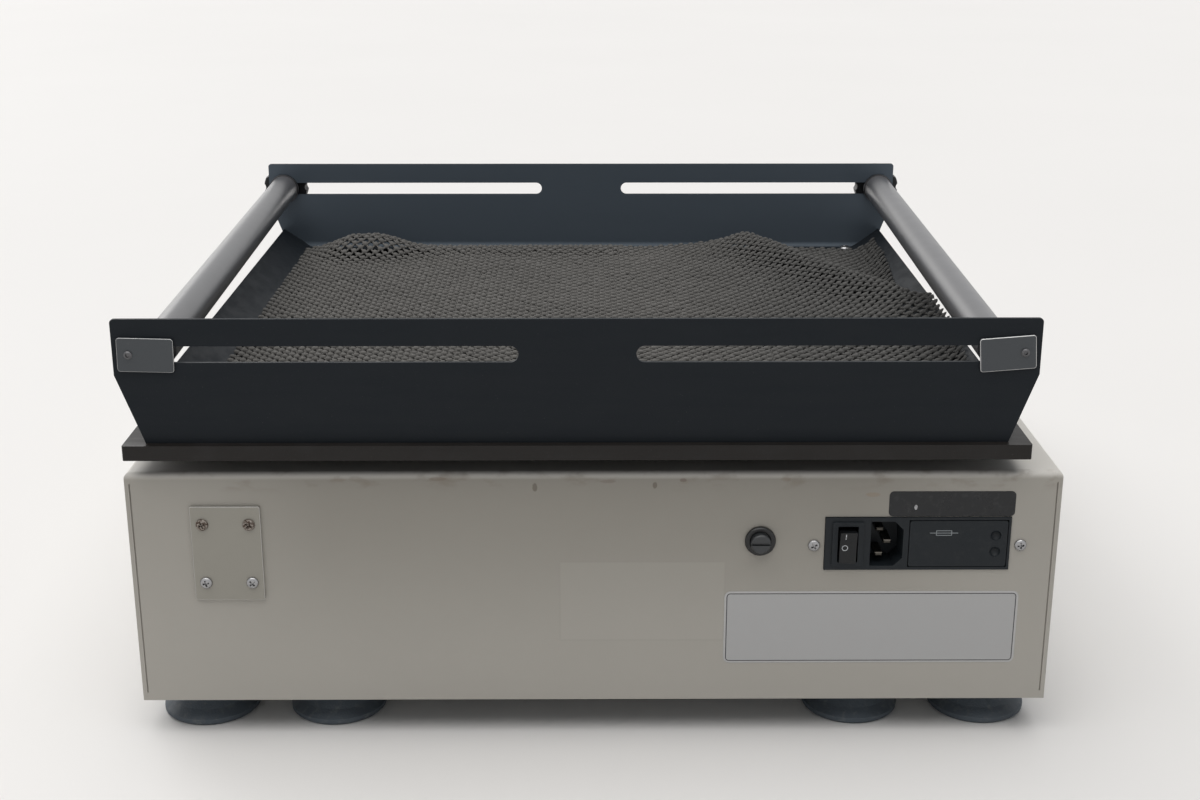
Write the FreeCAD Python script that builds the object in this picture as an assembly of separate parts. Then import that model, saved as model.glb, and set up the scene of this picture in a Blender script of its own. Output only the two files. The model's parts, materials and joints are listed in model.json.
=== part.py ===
import FreeCAD, Part
import math
import os

V = FreeCAD.Vector

# Millimetres. +X is to the right seen from behind, +Y runs from the rear panel to the front console,
# +Z is up, and Z = 0 is the bench top.

# Case
foot_height = 20.0
case_width = 480.0
case_depth = 629.0
case_height = 129.0
case_sheet = 2.0
case_bend = 3.3
origin_from_rear = 310.0
console_run = 139.0
console_drop = 67.0
console_bend = 8.0
seam_inset = 2.6
seam_width = 0.7
seam_depth = 0.9
seam_foot = 4.5
seam_head = 6.0
base_sheet = 2.0
base_flange = 16.0
cover_gap = 0.2

# Fits
running_fit = 0.08
seat_fit = 0.05
open_pivot_fit = 0.4
part_gap = 0.3

# Feet
foot_radius = 26.0
foot_neck_radius = 11.0
foot_lip = 2.5
foot_from_side = 28.6
foot_pair_pitch = 70.0
foot_from_edge = 34.0
foot_screw_radius = 2.5
foot_screw_head_radius = 5.0
foot_screw_head = 3.0

# Platform and its orbit
drive_from_rear = 228.6
orbit_radius = 12.7
rest_angle = math.radians(229.0)
platform_size = 457.2
platform_thick = 7.8
platform_gap = 10.0
platform_corner = 1.0

# Tray
tray_sheet = 2.0
tray_top_width = 460.6
tray_floor_width = 434.7
tray_depth = 435.4
tray_height = 64.5
tray_knee = 35.7
tray_setback = 4.8
tray_corner = 2.0
lip_foot = 203.0
lip_run = 19.4
lip_height = 14.4
slot_radius = 4.25
slot_inner_x = 29.2
slot_outer_x = 226.5
slot_above_floor = 46.4
tray_screw_x = 196.0
tray_screw_inset = 7.0
tray_screw_radius = 2.5
tray_screw_head_radius = 4.3
tray_screw_head = 2.6

# Grip bars
bar_radius = 9.65
rod_radius = 6.0
stud_radius = 3.8
bar_rear_x = 210.2
bar_front_x = 219.4
rod_shoulder_gap = 0.6
sleeve_rear_stop = 8.0
sleeve_front_stop = 3.0
collar_radius = 10.6
keeper_width = 28.0
keeper_height = 17.3
keeper_thick = 1.2
keeper_corner = 1.5
keeper_x = 213.6
keeper_screw_x = 222.0
keeper_tilt_left = 1.4
keeper_tilt_right = -4.5
keeper_screw_radius = 1.6
keeper_screw_head_radius = 2.1
keeper_screw_head = 1.0
keeper_screw_over = 1.0
keeper_nut = 5.6
keeper_nut_thick = 2.2
knob_radius = 15.8
knob_thick = 12.0
knob_boss_radius = 8.0
knob_boss = 2.5
knob_flutes = 10
knob_flute_radius = 3.0
knob_round = 1.5
knob_bore = 7.2

# Mat: a fold at the far left, a diagonal hump that runs to the right edge, and that edge raised
mat_width = 418.0
mat_depth = 414.0
mat_shift_x = 5.0
mat_thick = 4.5
mat_screw_room = 1.0
mat_columns_count = 16
mat_rows_count = 12
wrinkles = [
    # start x, start y, end x, end y from the tray's centre, reach on the near side, on the far side, height
    (118, 190, 214, 0, 46, 20, 11),
    (208, -24, 214, -90, 42, 16, 4.5),
    (-172, 192, -150, 190, 24, 24, 10.5),
    (-128, 190, -100, 192, 14, 14, 3),
]

# Drive: a driven crank at the front point of a triangle and two idler cranks at the rear points
main_ahead = 90.0
idler_aside = 110.0
idler_behind = 65.0
shaft_radius = 10.0
bearing_radius = 21.0
bearing_width = 12.0
bearing_race = 3.2
bearing_recess = 0.8
boss_radius = 31.0
boss_bottom = 48.0
boss_height = 50.0
boss_cover = 2.0
web_thick = 10.0
web_below_top = 14.0
rib_width = 9.0
rib_depth = 26.0
leg_radius = 12.0
leg_pad_radius = 18.0
leg_pad = 8.0
front_leg_x = 85.0
front_leg_ahead = 75.0
rear_leg_x = 165.0
rear_leg_behind = 40.0
leg_bolt_radius = 4.0
leg_bolt_head_radius = 6.5
leg_bolt_head = 5.0
leg_bolt_reach = 16.0
crank_disc_radius = 26.0
crank_disc_bottom = 99.0
crank_disc_thick = 20.0
pin_height = 17.0
weight_radius = 75.0
weight_thick = 14.0
weight_lift = 2.0
weight_hub = 9.0
hub_radius = 27.0
hub_bottom_gap = 2.0
hub_flange_radius = 38.0
hub_flange = 6.0
hub_relief_radius = 14.0
hub_relief = 5.0
hub_screw_circle = 32.0
hub_screw_radius = 2.5
hub_screw_head_radius = 5.0
hub_screw_head = 2.5
hub_screw_length = 12.0
opening_radius = 44.0
opening_lip = 6.0

# Belt and motor
pulley_radius = 65.0
pulley_bottom = 27.0
pulley_height = 16.0
pulley_flange = 1.5
pulley_flange_over = 4.5
pulley_rim = 6.0
pulley_web = 5.0
pulley_hub_radius = 20.0
pulley_holes = 6
pulley_hole_radius = 12.0
pulley_hole_circle = 40.0
motor_reach = 155.0
motor_pulley_radius = 13.0
motor_shaft_radius = 4.0
belt_thick = 2.5
belt_side_gap = 0.5
motor_radius = 45.0
motor_height = 85.0
motor_wall = 12.0
motor_end = 7.0
rotor_radius = 30.0
bracket_top = 50.0
bracket_sheet = 4.0
bracket_size = 104.0
bracket_foot = 20.0
bracket_hole_radius = 16.0
bracket_screw_x = 36.0

# Electrics on the base plate
board_from_side = 57.0
board_from_front = 199.0
board_width = 90.0
board_length = 140.0
board_thick = 1.6
board_corner = 2.0
board_lift = 9.0
board_screw_inset = 6.0
board_parts = [
    # x, y from the board's centre, width, length, height
    (-28.0, 35.0, 22.0, 34.0, 28.0),
    (22.0, 38.0, 18.0, 18.0, 30.0),
    (30.0, -8.0, 14.0, 44.0, 12.0),
    (-22.0, -34.0, 34.0, 34.0, 4.0),
]
standoff_radius = 3.0
transformer_from_side = 46.0
transformer_from_rear = 226.0
transformer_width = 66.0
transformer_stack = 40.0
transformer_height = 56.0
coil_over = 13.0
coil_margin = 12.0

# Rear panel fittings
plate_from_side = 50.5
plate_below_top = 44.0
plate_width = 36.0
plate_height = 52.0
plate_thick = 1.5
plate_corner = 1.0
plate_screw_dx = 12.0
plate_screw_up = 16.2
small_screw_radius = 1.9
small_screw_head_radius = 3.2
small_screw_head = 1.7
small_screw_length = 7.0
fuse_from_side = 154.2
fuse_below_top = 37.8
fuse_bezel_radius = 8.0
fuse_bezel = 2.2
fuse_bevel = 0.8
fuse_body_radius = 6.2
fuse_body_length = 34.0
fuse_body_end = 2.0
fuse_cap_radius = 5.2
fuse_cap_out = 6.0
fuse_cap_in = 8.0
fuse_cap_gap = 0.2
fuse_slot_width = 1.4
fuse_slot_depth = 1.6
fuse_radius = 2.5
fuse_length = 20.0
fuse_ferrule = 4.8
fuse_glass_step = 0.25
fuse_gap = 0.4
fuse_socket_depth = 5.0
fuse_socket_gap = 0.3
fuse_nut_radius = 9.5
fuse_nut = 3.0
module_from_side = 72.8
module_below_top = 39.5
module_width = 96.0
module_height = 29.2
module_proud = 0.8
module_deep = 36.0
module_ear = 10.5
module_ear_thick = 2.0
module_screw_x = 53.5
module_screw_drop = 1.0
rocker_x = -36.2
rocker_width = 8.8
rocker_height = 18.2
rocker_taper = 1.2
rocker_side = 4.6
rocker_dip = 1.1
rocker_well = 12.0
rocker_gap = 0.8
rocker_pivot_deep = 4.0
rocker_pin_radius = 1.2
rocker_rise = 2.6
rocker_tilt = 8.0
rocker_frame_width = 16.2
rocker_frame_height = 24.6
rocker_frame = 1.0
rocker_frame_corner = 1.0
inlet_x = -16.0
inlet_width = 16.8
inlet_height = 24.6
inlet_deep = 17.0
inlet_chamfer = 4.5
pin_spacing = 14.0
pin_row_x = -3.4
earth_pin_x = 0.7
pin_wide = 4.0
pin_flat = 2.0
pin_length = 14.0
pin_chamfer = 0.5
drawer_x = 21.0
drawer_width = 50.6
drawer_height = 25.4
drawer_front = 2.2
drawer_corner = 1.2
drawer_gap = 0.4
drawer_box_width = 44.0
drawer_box_height = 14.0
drawer_box_gap = 0.8
drawer_deep = 28.0
drawer_wall = 1.6
drawer_notch_radius = 3.0
drawer_notch_out = 1.0

# Front console, measured on its sloped face
fascia_width = 300.0
fascia_height = 96.0
fascia_thick = 1.0
fascia_corner = 6.0
window_x = -70.0
window_y = 12.0
window_width = 92.0
window_height = 30.0
window_thick = 2.4
key_count = 4
key_pitch = 32.0
key_first_x = 20.0
key_y = 12.0
key_width = 20.0
key_height = 14.0
key_corner = 2.5
key_round = 0.5
key_proud = 1.3
key_gap = 0.5
key_skirt = 1.5
key_flange = 1.2
key_under = 0.3
console_board_width = 240.0
console_board_height = 60.0
console_board_deep = 8.2
console_board_corner = 6.0
display_width = 84.0
display_height = 24.0
display_deep = 3.4

# Case screws
case_screw_radius = 2.0
case_screw_head_radius = 3.8
case_screw_height = 8.0
case_screw_length = 7.0
case_screw_from_end = 60.0

# Places worked out from the sizes above
rear_y = -origin_from_rear
front_y = rear_y + case_depth
case_bottom = foot_height
case_top = case_bottom + case_height
drive_y = rear_y + drive_from_rear
main_y = drive_y + main_ahead
idler_y = drive_y - idler_behind
shaft_axes = [(0.0, main_y), (-idler_aside, idler_y), (idler_aside, idler_y)]
offset_x = orbit_radius * math.cos(rest_angle)
offset_y = orbit_radius * math.sin(rest_angle)
platform_bottom = case_top + platform_gap
platform_top = platform_bottom + platform_thick
tray_x = offset_x
tray_rear_y = rear_y + offset_y + tray_setback
tray_front_y = tray_rear_y + tray_depth
tray_y = (tray_rear_y + tray_front_y) / 2
floor_top = platform_top + tray_sheet
tray_top = platform_top + tray_height
slot_z = platform_top + slot_above_floor
base_top = case_bottom + base_sheet
crank_top = crank_disc_bottom + crank_disc_thick
hub_bottom = crank_top + hub_bottom_gap
pin_top = crank_top + pin_height
upper_bearing_bottom = hub_bottom + boss_cover / 2
case_screw_stations = [case_screw_from_end, case_depth / 2, case_depth - case_screw_from_end]
motor_x = -motor_reach
foot_outer_x = case_width / 2 - foot_from_side
foot_inner_x = foot_outer_x - foot_pair_pitch
board_x = case_width / 2 - board_from_side
board_y = front_y - board_from_front
transformer_x = case_width / 2 - transformer_from_side
transformer_y = rear_y + transformer_from_rear
plate_x = plate_from_side - case_width / 2
plate_z = case_top - plate_below_top
fuse_x = case_width / 2 - fuse_from_side
fuse_z = case_top - fuse_below_top
module_x = case_width / 2 - module_from_side
module_z = case_top - module_below_top
console_angle = math.atan2(console_drop, console_run)
leg_spots = [
    (-front_leg_x, main_y + front_leg_ahead),
    (front_leg_x, main_y + front_leg_ahead),
    (-rear_leg_x, idler_y - rear_leg_behind),
    (rear_leg_x, idler_y - rear_leg_behind),
]
foot_spots = [
    (x, y)
    for y in (rear_y + foot_from_edge, front_y - foot_from_edge)
    for x in (-foot_outer_x, -foot_inner_x, foot_inner_x, foot_outer_x)
]


# Basic forms

def block(x, y, z):
    """A box from three (low, high) pairs."""
    size = (x[1] - x[0], y[1] - y[0], z[1] - z[0])
    return Part.makeBox(size[0], size[1], size[2], V(x[0], y[0], z[0]))


def post(radius, x, y, low, high):
    """An upright cylinder."""
    return Part.makeCylinder(radius, high - low, V(x, y, low))


def rod_y(radius, x, z, near, far):
    """A cylinder along Y."""
    return Part.makeCylinder(radius, far - near, V(x, near, z), V(0, 1, 0))


def lathe(profile, x, y):
    """A solid turned about an upright axis from (radius, height) points."""
    points = [V(radius, 0, height) for radius, height in profile]
    face = Part.Face(Part.makePolygon(points + points[:1]))
    turned = face.revolve(V(0, 0, 0), V(0, 0, 1), 360)
    return turned.translated(V(x, y, 0))


def lathe_rear(profile, x, z):
    """A solid turned about an axis through the rear panel, from (radius, inward depth) points."""
    turned = lathe(profile, 0, 0)
    turned.rotate(V(0, 0, 0), V(1, 0, 0), -90)
    return turned.translated(V(x, rear_y, z))


def rounded_rectangle(width, height, radius):
    """A face in XY about the origin with round corners."""
    half_w = width / 2
    half_h = height / 2
    bow = radius * math.sqrt(0.5)
    edges = []
    for turn in range(4):
        along, across = (half_w, half_h) if turn % 2 == 0 else (half_h, half_w)
        start = V(along, radius - across, 0)
        end = V(along, across - radius, 0)
        middle = V(along - radius + bow, across - radius + bow, 0)
        corner_end = V(along - radius, across, 0)
        side = [Part.LineSegment(start, end).toShape(), Part.Arc(end, middle, corner_end).toShape()]
        for edge in side:
            edge.rotate(V(0, 0, 0), V(0, 0, 1), 90 * turn)
        edges += side
    return Part.Face(Part.Wire(edges))


def rounded_plate(width, height, radius, low, high):
    """A flat plate with round corners, from Z low to Z high."""
    face = rounded_rectangle(width, height, radius)
    return face.extrude(V(0, 0, high - low)).translated(V(0, 0, low))


def rear_plate(width, height, radius, x, z, near, far):
    """A rounded plate that lies parallel to the rear panel."""
    plate = rounded_plate(width, height, radius, 0, far - near)
    plate.rotate(V(0, 0, 0), V(1, 0, 0), -90)
    return plate.translated(V(x, near, z))


def joined(shapes):
    """Several overlapping solids made one."""
    whole = shapes[0].fuse(shapes[1:])
    return whole.removeSplitter()


def pan_screw(x, z, seat_y, head_radius, head, radius, length):
    """A pan head screw driven along +Y whose head sits on seat_y."""
    dome = head * 0.45
    profile = [
        (0, -head),
        (head_radius * 0.7, -head),
        (head_radius, -head + dome),
        (head_radius, 0),
        (radius, 0),
        (radius, length),
        (0, length),
    ]
    screw = lathe(profile, 0, 0)
    screw.rotate(V(0, 0, 0), V(1, 0, 0), -90)
    return screw.translated(V(x, seat_y, z))


def on_console(shape):
    """Move a shape drawn flat, with +Y up the slope and +Z outward, to the console face."""
    lean = math.degrees(console_angle)
    shape = shape.copy()
    shape.rotate(V(0, 0, 0), V(0, 0, 1), 180)
    shape.rotate(V(0, 0, 0), V(1, 0, 0), -lean)
    middle_y = front_y - console_run / 2
    middle_z = case_top - console_drop / 2
    return shape.translated(V(0, middle_y, middle_z))


# Case

def case_profile(inset, drop):
    """The case's side outline, moved inward by the sheet and open below."""
    points = [
        V(0, rear_y, case_bottom),
        V(0, rear_y, case_top),
        V(0, front_y - console_run, case_top),
        V(0, front_y, case_top - console_drop),
        V(0, front_y, case_bottom),
    ]
    if drop:
        points[0] = V(0, rear_y, case_bottom - drop)
        points[-1] = V(0, front_y, case_bottom - drop)
    face = Part.Face(Part.makePolygon(points + points[:1]))
    if inset:
        face = face.makeOffset2D(-inset, 2)
    return face


def case_solid(inset, drop):
    """The case's volume inside a given inset from its outer faces, with its folds rounded."""
    half = case_width / 2 - inset
    rear = rear_y + inset
    front = front_y - inset
    slope_low = case_top - console_drop
    solid = case_profile(inset, drop).extrude(V(2 * half, 0, 0)).translated(V(-half, 0, 0))
    slope_edges = []
    for edge in solid.Edges:
        middle = edge.CenterOfMass
        if abs(middle.x) < 0.01 and middle.y > 0 and middle.z > slope_low - 3 * case_sheet:
            slope_edges.append(edge)
    solid = solid.makeFillet(console_bend - inset, slope_edges)
    fold_low = slope_low - console_bend - case_bend
    folds = []
    for edge in solid.Edges:
        middle = edge.CenterOfMass
        on_side = abs(abs(middle.x) - half) < 0.01
        on_rear = abs(middle.y - rear) < 0.01
        if on_rear and abs(middle.z - (case_top - inset)) < 0.01:
            folds.append(edge)
        if on_side and not on_rear and middle.z > fold_low and abs(middle.y - front) > 0.5:
            folds.append(edge)
    return solid.makeFillet(case_bend - inset, folds)


def case_cover():
    """The folded sheet: top, sides, rear panel and console, with its openings."""
    shell = case_solid(0, 0).cut(case_solid(case_sheet, base_sheet + case_sheet))
    cuts = []
    for x, y in shaft_axes:
        cuts.append(post(opening_radius, x, y, case_top - 2 * case_sheet, case_top + case_sheet))
    for side in (-1, 1):
        seam_x = side * (case_width / 2 - seam_inset)
        seam = block(
            (seam_x - seam_width / 2, seam_x + seam_width / 2),
            (rear_y - seam_depth, rear_y + seam_depth),
            (case_bottom + seam_foot, case_top - seam_head),
        )
        cuts.append(seam)
    cuts.append(block(
        (module_x - module_width / 2 - cover_gap, module_x + module_width / 2 + cover_gap),
        (rear_y, rear_y + case_sheet),
        (module_z - module_height / 2 - cover_gap, module_z + module_height / 2 + cover_gap),
    ))
    cuts.append(rod_y(fuse_body_radius + cover_gap, fuse_x, fuse_z, rear_y, rear_y + case_sheet))
    for x, z in plate_screw_spots() + module_screw_spots():
        cuts.append(rod_y(small_screw_radius + cover_gap, x, z, rear_y, rear_y + case_sheet))
    for side in (-1, 1):
        for station in case_screw_stations:
            cuts.append(case_screw(side, station, cover_gap))
    cuts += console_cutouts()
    shell = shell.cut(cuts)
    lips = [opening_collar(x, y) for x, y in shaft_axes]
    return joined([shell] + lips)


def opening_collar(x, y):
    """The turned-down lip round one opening under the platform."""
    low = case_top - opening_lip
    high = case_top - case_sheet / 2
    outer = post(opening_radius + case_sheet, x, y, low, high)
    return outer.cut(post(opening_radius, x, y, low, high))


def console_cutouts():
    """The window and key openings in the sloped face."""
    high = 2 * case_sheet
    window = rounded_plate(window_width - case_sheet, window_height - case_sheet, key_corner, -high, high)
    cuts = [on_console(window.translated(V(window_x, window_y, 0)))]
    for x in key_places():
        cuts.append(on_console(key_hole(-high, high).translated(V(x, key_y, 0))))
    return cuts


def key_hole(low, high):
    """The room that one key needs through the sheet or the fascia."""
    return rounded_plate(key_width + 2 * key_gap, key_height + 2 * key_gap, key_corner, low, high)


def key_places():
    """The keys' centres across the console."""
    return [key_first_x + key_pitch * index for index in range(key_count)]


def base_plate():
    """The floor of the case, with turned-up flanges inside the cover."""
    half = case_width / 2 - case_sheet - cover_gap
    near = rear_y + case_sheet + cover_gap
    far = front_y - case_sheet - cover_gap
    top = base_top + base_flange
    pan = block((-half, half), (near, far), (case_bottom, top))
    inner = half - base_sheet
    mid_z = (case_bottom + top) / 2
    corners = []
    for edge in pan.Edges:
        if abs(edge.CenterOfMass.x) > inner and abs(edge.CenterOfMass.z - mid_z) < 1:
            corners.append(edge)
    pan = pan.makeFillet(case_bend - case_sheet, corners)
    pan = pan.cut(block((-inner, inner), (near + base_sheet, far - base_sheet), (base_top, top)))
    holes = []
    for x, y in foot_spots:
        holes.append(post(foot_screw_radius + seat_fit, x, y, case_bottom - 1, base_top + 1))
    for x, y in leg_spots + bracket_screw_spots():
        holes.append(post(leg_bolt_radius + seat_fit, x, y, case_bottom - 1, base_top + 1))
    for side in (-1, 1):
        for station in case_screw_stations:
            holes.append(case_screw(side, station, seat_fit))
    return pan.cut(holes)


def case_screw(side, station, gap):
    """A flush screw through the side of the cover, or its clearance with a gap."""
    edge = case_width / 2
    profile = [
        (0, -gap),
        (case_screw_head_radius + gap, -gap),
        (case_screw_head_radius + gap, 0),
        (case_screw_radius + gap, case_screw_head_radius - case_screw_radius),
        (case_screw_radius + gap, case_screw_length),
        (0, case_screw_length),
    ]
    screw = lathe(profile, 0, 0)
    screw.rotate(V(0, 0, 0), V(0, 1, 0), -90 * side)
    return screw.translated(V(side * edge, rear_y + station, case_bottom + case_screw_height))


def case_screws():
    """Six flush screws, three on each side."""
    return Part.makeCompound([case_screw(side, s, 0) for side in (-1, 1) for s in case_screw_stations])


def feet():
    """Eight conical rubber feet."""
    profile = [
        (0, foot_lip),
        (foot_radius - 2 * foot_lip, 0),
        (foot_radius - foot_lip / 2, 0),
        (foot_radius, foot_lip / 2),
        (foot_radius, foot_lip * 1.4),
        (foot_radius * 0.8, foot_height * 0.36),
        (foot_radius * 0.62, foot_height * 0.6),
        (foot_neck_radius, foot_height * 0.72),
        (foot_neck_radius, foot_height),
        (foot_screw_radius + seat_fit, foot_height),
        (foot_screw_radius + seat_fit, foot_height / 2),
        (0, foot_height / 2),
    ]
    return Part.makeCompound([lathe(profile, x, y) for x, y in foot_spots])


def foot_screws():
    """The screw that holds each foot, driven down through the base plate."""
    low = foot_height / 2 + part_gap
    profile = [
        (0, low),
        (foot_screw_radius, low),
        (foot_screw_radius, base_top),
        (foot_screw_head_radius, base_top),
        (foot_screw_head_radius, base_top + foot_screw_head * 0.6),
        (foot_screw_head_radius * 0.7, base_top + foot_screw_head),
        (0, base_top + foot_screw_head),
    ]
    return Part.makeCompound([lathe(profile, x, y) for x, y in foot_spots])


# Drive housing and bearings

def rib(start, end, width, low, high):
    """An upright wall between two points in plan."""
    run = V(end[0] - start[0], end[1] - start[1], 0)
    wall = block((0, run.Length), (-width / 2, width / 2), (low, high))
    wall.rotate(V(0, 0, 0), V(0, 0, 1), math.degrees(math.atan2(run.y, run.x)))
    return wall.translated(V(start[0], start[1], 0))


def drive_housing():
    """The casting: three bored bosses, a web, ribs and four legs."""
    top = boss_bottom + boss_height
    web_top = top - web_below_top
    web_low = web_top - web_thick
    rib_low = web_top - rib_depth
    pieces = [post(boss_radius, x, y, boss_bottom, top) for x, y in shaft_axes]
    corners = [V(x, y, web_low) for x, y in shaft_axes]
    web = Part.Face(Part.makePolygon(corners + corners[:1])).extrude(V(0, 0, web_thick))
    pieces.append(web)
    for index in range(3):
        pieces.append(rib(shaft_axes[index - 1], shaft_axes[index], rib_width, rib_low, web_top))
    leg_roots = [shaft_axes[0], shaft_axes[0], shaft_axes[1], shaft_axes[2]]
    for spot, root in zip(leg_spots, leg_roots):
        pieces.append(post(leg_radius, spot[0], spot[1], base_top, web_top))
        pieces.append(post(leg_pad_radius, spot[0], spot[1], base_top, base_top + leg_pad))
        pieces.append(rib(root, spot, rib_width, rib_low, web_top))
    casting = joined(pieces)
    cuts = []
    seat = bearing_radius + seat_fit
    for x, y in shaft_axes:
        cuts.append(post(shaft_radius + bearing_race, x, y, boss_bottom, top))
        cuts.append(post(seat, x, y, boss_bottom, boss_bottom + boss_cover + bearing_width))
        cuts.append(post(seat, x, y, top - boss_cover - bearing_width, top))
    for x, y in leg_spots:
        cuts.append(post(leg_bolt_radius + seat_fit, x, y, base_top, base_top + leg_bolt_reach + 1))
    centre_y = (main_y + 2 * idler_y) / 3
    cuts.append(post(boss_radius * 0.9, 0, centre_y, web_low, web_top))
    return casting.cut(cuts)


def bearing(x, y, low, bore):
    """A shielded ball bearing as one turned solid."""
    inner = bore
    outer = bearing_radius
    high = low + bearing_width
    dip = bearing_recess
    profile = [
        (inner, low),
        (inner + bearing_race, low),
        (inner + bearing_race, low + dip),
        (outer - bearing_race, low + dip),
        (outer - bearing_race, low),
        (outer, low),
        (outer, high),
        (outer - bearing_race, high),
        (outer - bearing_race, high - dip),
        (inner + bearing_race, high - dip),
        (inner + bearing_race, high),
        (inner, high),
    ]
    return lathe(profile, x, y)


def housing_bearings(axes):
    """A lower and an upper bearing in each boss."""
    upper = boss_bottom + boss_height - boss_cover - bearing_width
    lows = (boss_bottom + boss_cover, upper)
    bore = shaft_radius + running_fit
    return Part.makeCompound([bearing(x, y, low, bore) for x, y in axes for low in lows])


def platform_bearings():
    """One bearing in each hub; the idler pins run in theirs with more clearance."""
    races = []
    for index, (x, y) in enumerate(shaft_axes):
        place = (x + offset_x, y + offset_y)
        races.append(bearing(place[0], place[1], upper_bearing_bottom, shaft_radius + running_fit))
    return Part.makeCompound(races)


def hexagon(radius, thick):
    """A six-sided prism about the origin, from its corner radius."""
    angles = [math.radians(60 * index) for index in range(6)]
    corners = [V(radius * math.cos(a), radius * math.sin(a), 0) for a in angles]
    return Part.Face(Part.makePolygon(corners + corners[:1])).extrude(V(0, 0, thick))


def hex_bolt(x, y, seat, head_radius, head, radius, reach):
    """A bolt driven upward whose hexagon head hangs below seat."""
    head_form = hexagon(head_radius, head).translated(V(x, y, seat - head))
    return joined([head_form, post(radius, x, y, seat - head / 2, seat + reach)])


def drive_bolts():
    """Bolts from below: four in the housing legs and four in the motor bracket."""
    places = [(spot, base_sheet + leg_bolt_reach) for spot in leg_spots]
    places += [(spot, base_sheet + bracket_sheet + leg_bolt_head) for spot in bracket_screw_spots()]
    bolts = []
    for (x, y), reach in places:
        bolt = hex_bolt(x, y, case_bottom, leg_bolt_head_radius, leg_bolt_head, leg_bolt_radius, reach)
        bolts.append(bolt)
    return Part.makeCompound(bolts)


# Cranks

def crank(x, y, pin_radius, foot):
    """A shaft with its crank disc and eccentric pin in one piece."""
    journal = post(shaft_radius, x, y, foot, crank_disc_bottom + 1)
    disc = post(crank_disc_radius, x, y, crank_disc_bottom, crank_top)
    pin = post(pin_radius, x + offset_x, y + offset_y, crank_top - 1, pin_top)
    return joined([journal, disc, pin])


def counterweight(x, y):
    """A heavy segment opposite the eccentric pin, clamped round the crank disc."""
    low = crank_disc_bottom + weight_lift
    high = low + weight_thick
    hub = crank_disc_radius + weight_hub
    disc = post(weight_radius, x, y, low, high)
    keep = block((-weight_radius, -weight_hub), (-weight_radius, weight_radius), (low, high))
    keep.rotate(V(0, 0, 0), V(0, 0, 1), math.degrees(rest_angle))
    segment = disc.common(keep.translated(V(x, y, 0)))
    weight = joined([segment, post(hub, x, y, low, high)])
    return weight.cut(post(crank_disc_radius + seat_fit, x, y, low, high))


def idler_crank(index):
    """An idler crank, which starts just under its lower bearing."""
    x, y = shaft_axes[index]
    return crank(x, y, shaft_radius - open_pivot_fit + running_fit, boss_bottom - 1)


def pulley_profile(radius, bore, hub, web):
    """Half section of a flanged pulley; web is None for a solid one."""
    low = pulley_bottom
    high = pulley_bottom + pulley_height
    flange = radius + pulley_flange_over
    outer = [
        (flange, low),
        (flange, low + pulley_flange),
        (radius, low + pulley_flange),
        (radius, high - pulley_flange),
        (flange, high - pulley_flange),
        (flange, high),
    ]
    if web is None:
        return [(bore, low)] + outer + [(bore, high)]
    rim = radius - pulley_rim
    middle = (low + high) / 2
    under = [(bore, low), (hub, low), (hub, middle - web / 2), (rim, middle - web / 2), (rim, low)]
    over = [(rim, high), (rim, middle + web / 2), (hub, middle + web / 2), (hub, high), (bore, high)]
    return under + outer + over


def drive_pulley():
    """The big pulley on the driven crank, with holes in its web."""
    x, y = shaft_axes[0]
    profile = pulley_profile(pulley_radius, shaft_radius + seat_fit, pulley_hub_radius, pulley_web)
    pulley = lathe(profile, x, y)
    holes = []
    for index in range(pulley_holes):
        angle = 2 * math.pi * index / pulley_holes
        hole_x = x + pulley_hole_circle * math.cos(angle)
        hole_y = y + pulley_hole_circle * math.sin(angle)
        holes.append(post(pulley_hole_radius, hole_x, hole_y, pulley_bottom, pulley_bottom + pulley_height))
    return pulley.cut(holes)


def loop_face(near_radius, far_radius):
    """The outline of a belt round both pulleys."""
    x, y = shaft_axes[0]
    lean = math.acos((near_radius - far_radius) / motor_reach)
    toward = [V(math.cos(math.pi + s * lean), math.sin(math.pi + s * lean), 0) for s in (-1, 1)]
    near = [V(x, y, 0) + direction * near_radius for direction in toward]
    far = [V(motor_x, y, 0) + direction * far_radius for direction in toward]
    edges = [
        Part.Arc(near[0], V(x + near_radius, y, 0), near[1]).toShape(),
        Part.LineSegment(near[1], far[1]).toShape(),
        Part.Arc(far[1], V(motor_x - far_radius, y, 0), far[0]).toShape(),
        Part.LineSegment(far[0], near[0]).toShape(),
    ]
    return Part.Face(Part.Wire(edges))


def drive_belt():
    """A flat belt that clears the pulley faces by the part gap."""
    inner = loop_face(pulley_radius + part_gap, motor_pulley_radius + part_gap)
    thick = part_gap + belt_thick
    outer = loop_face(pulley_radius + thick, motor_pulley_radius + thick)
    low = pulley_bottom + pulley_flange + belt_side_gap
    high = pulley_bottom + pulley_height - pulley_flange - belt_side_gap
    return outer.cut(inner).extrude(V(0, 0, high - low)).translated(V(0, 0, low))


# Motor

def bracket_screw_spots():
    """The motor bracket's bolts through its two feet."""
    reach = bracket_size / 2 + bracket_foot / 2
    return [
        (motor_x + side * bracket_screw_x, main_y + row * reach)
        for row in (-1, 1)
        for side in (-1, 1)
    ]


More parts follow.
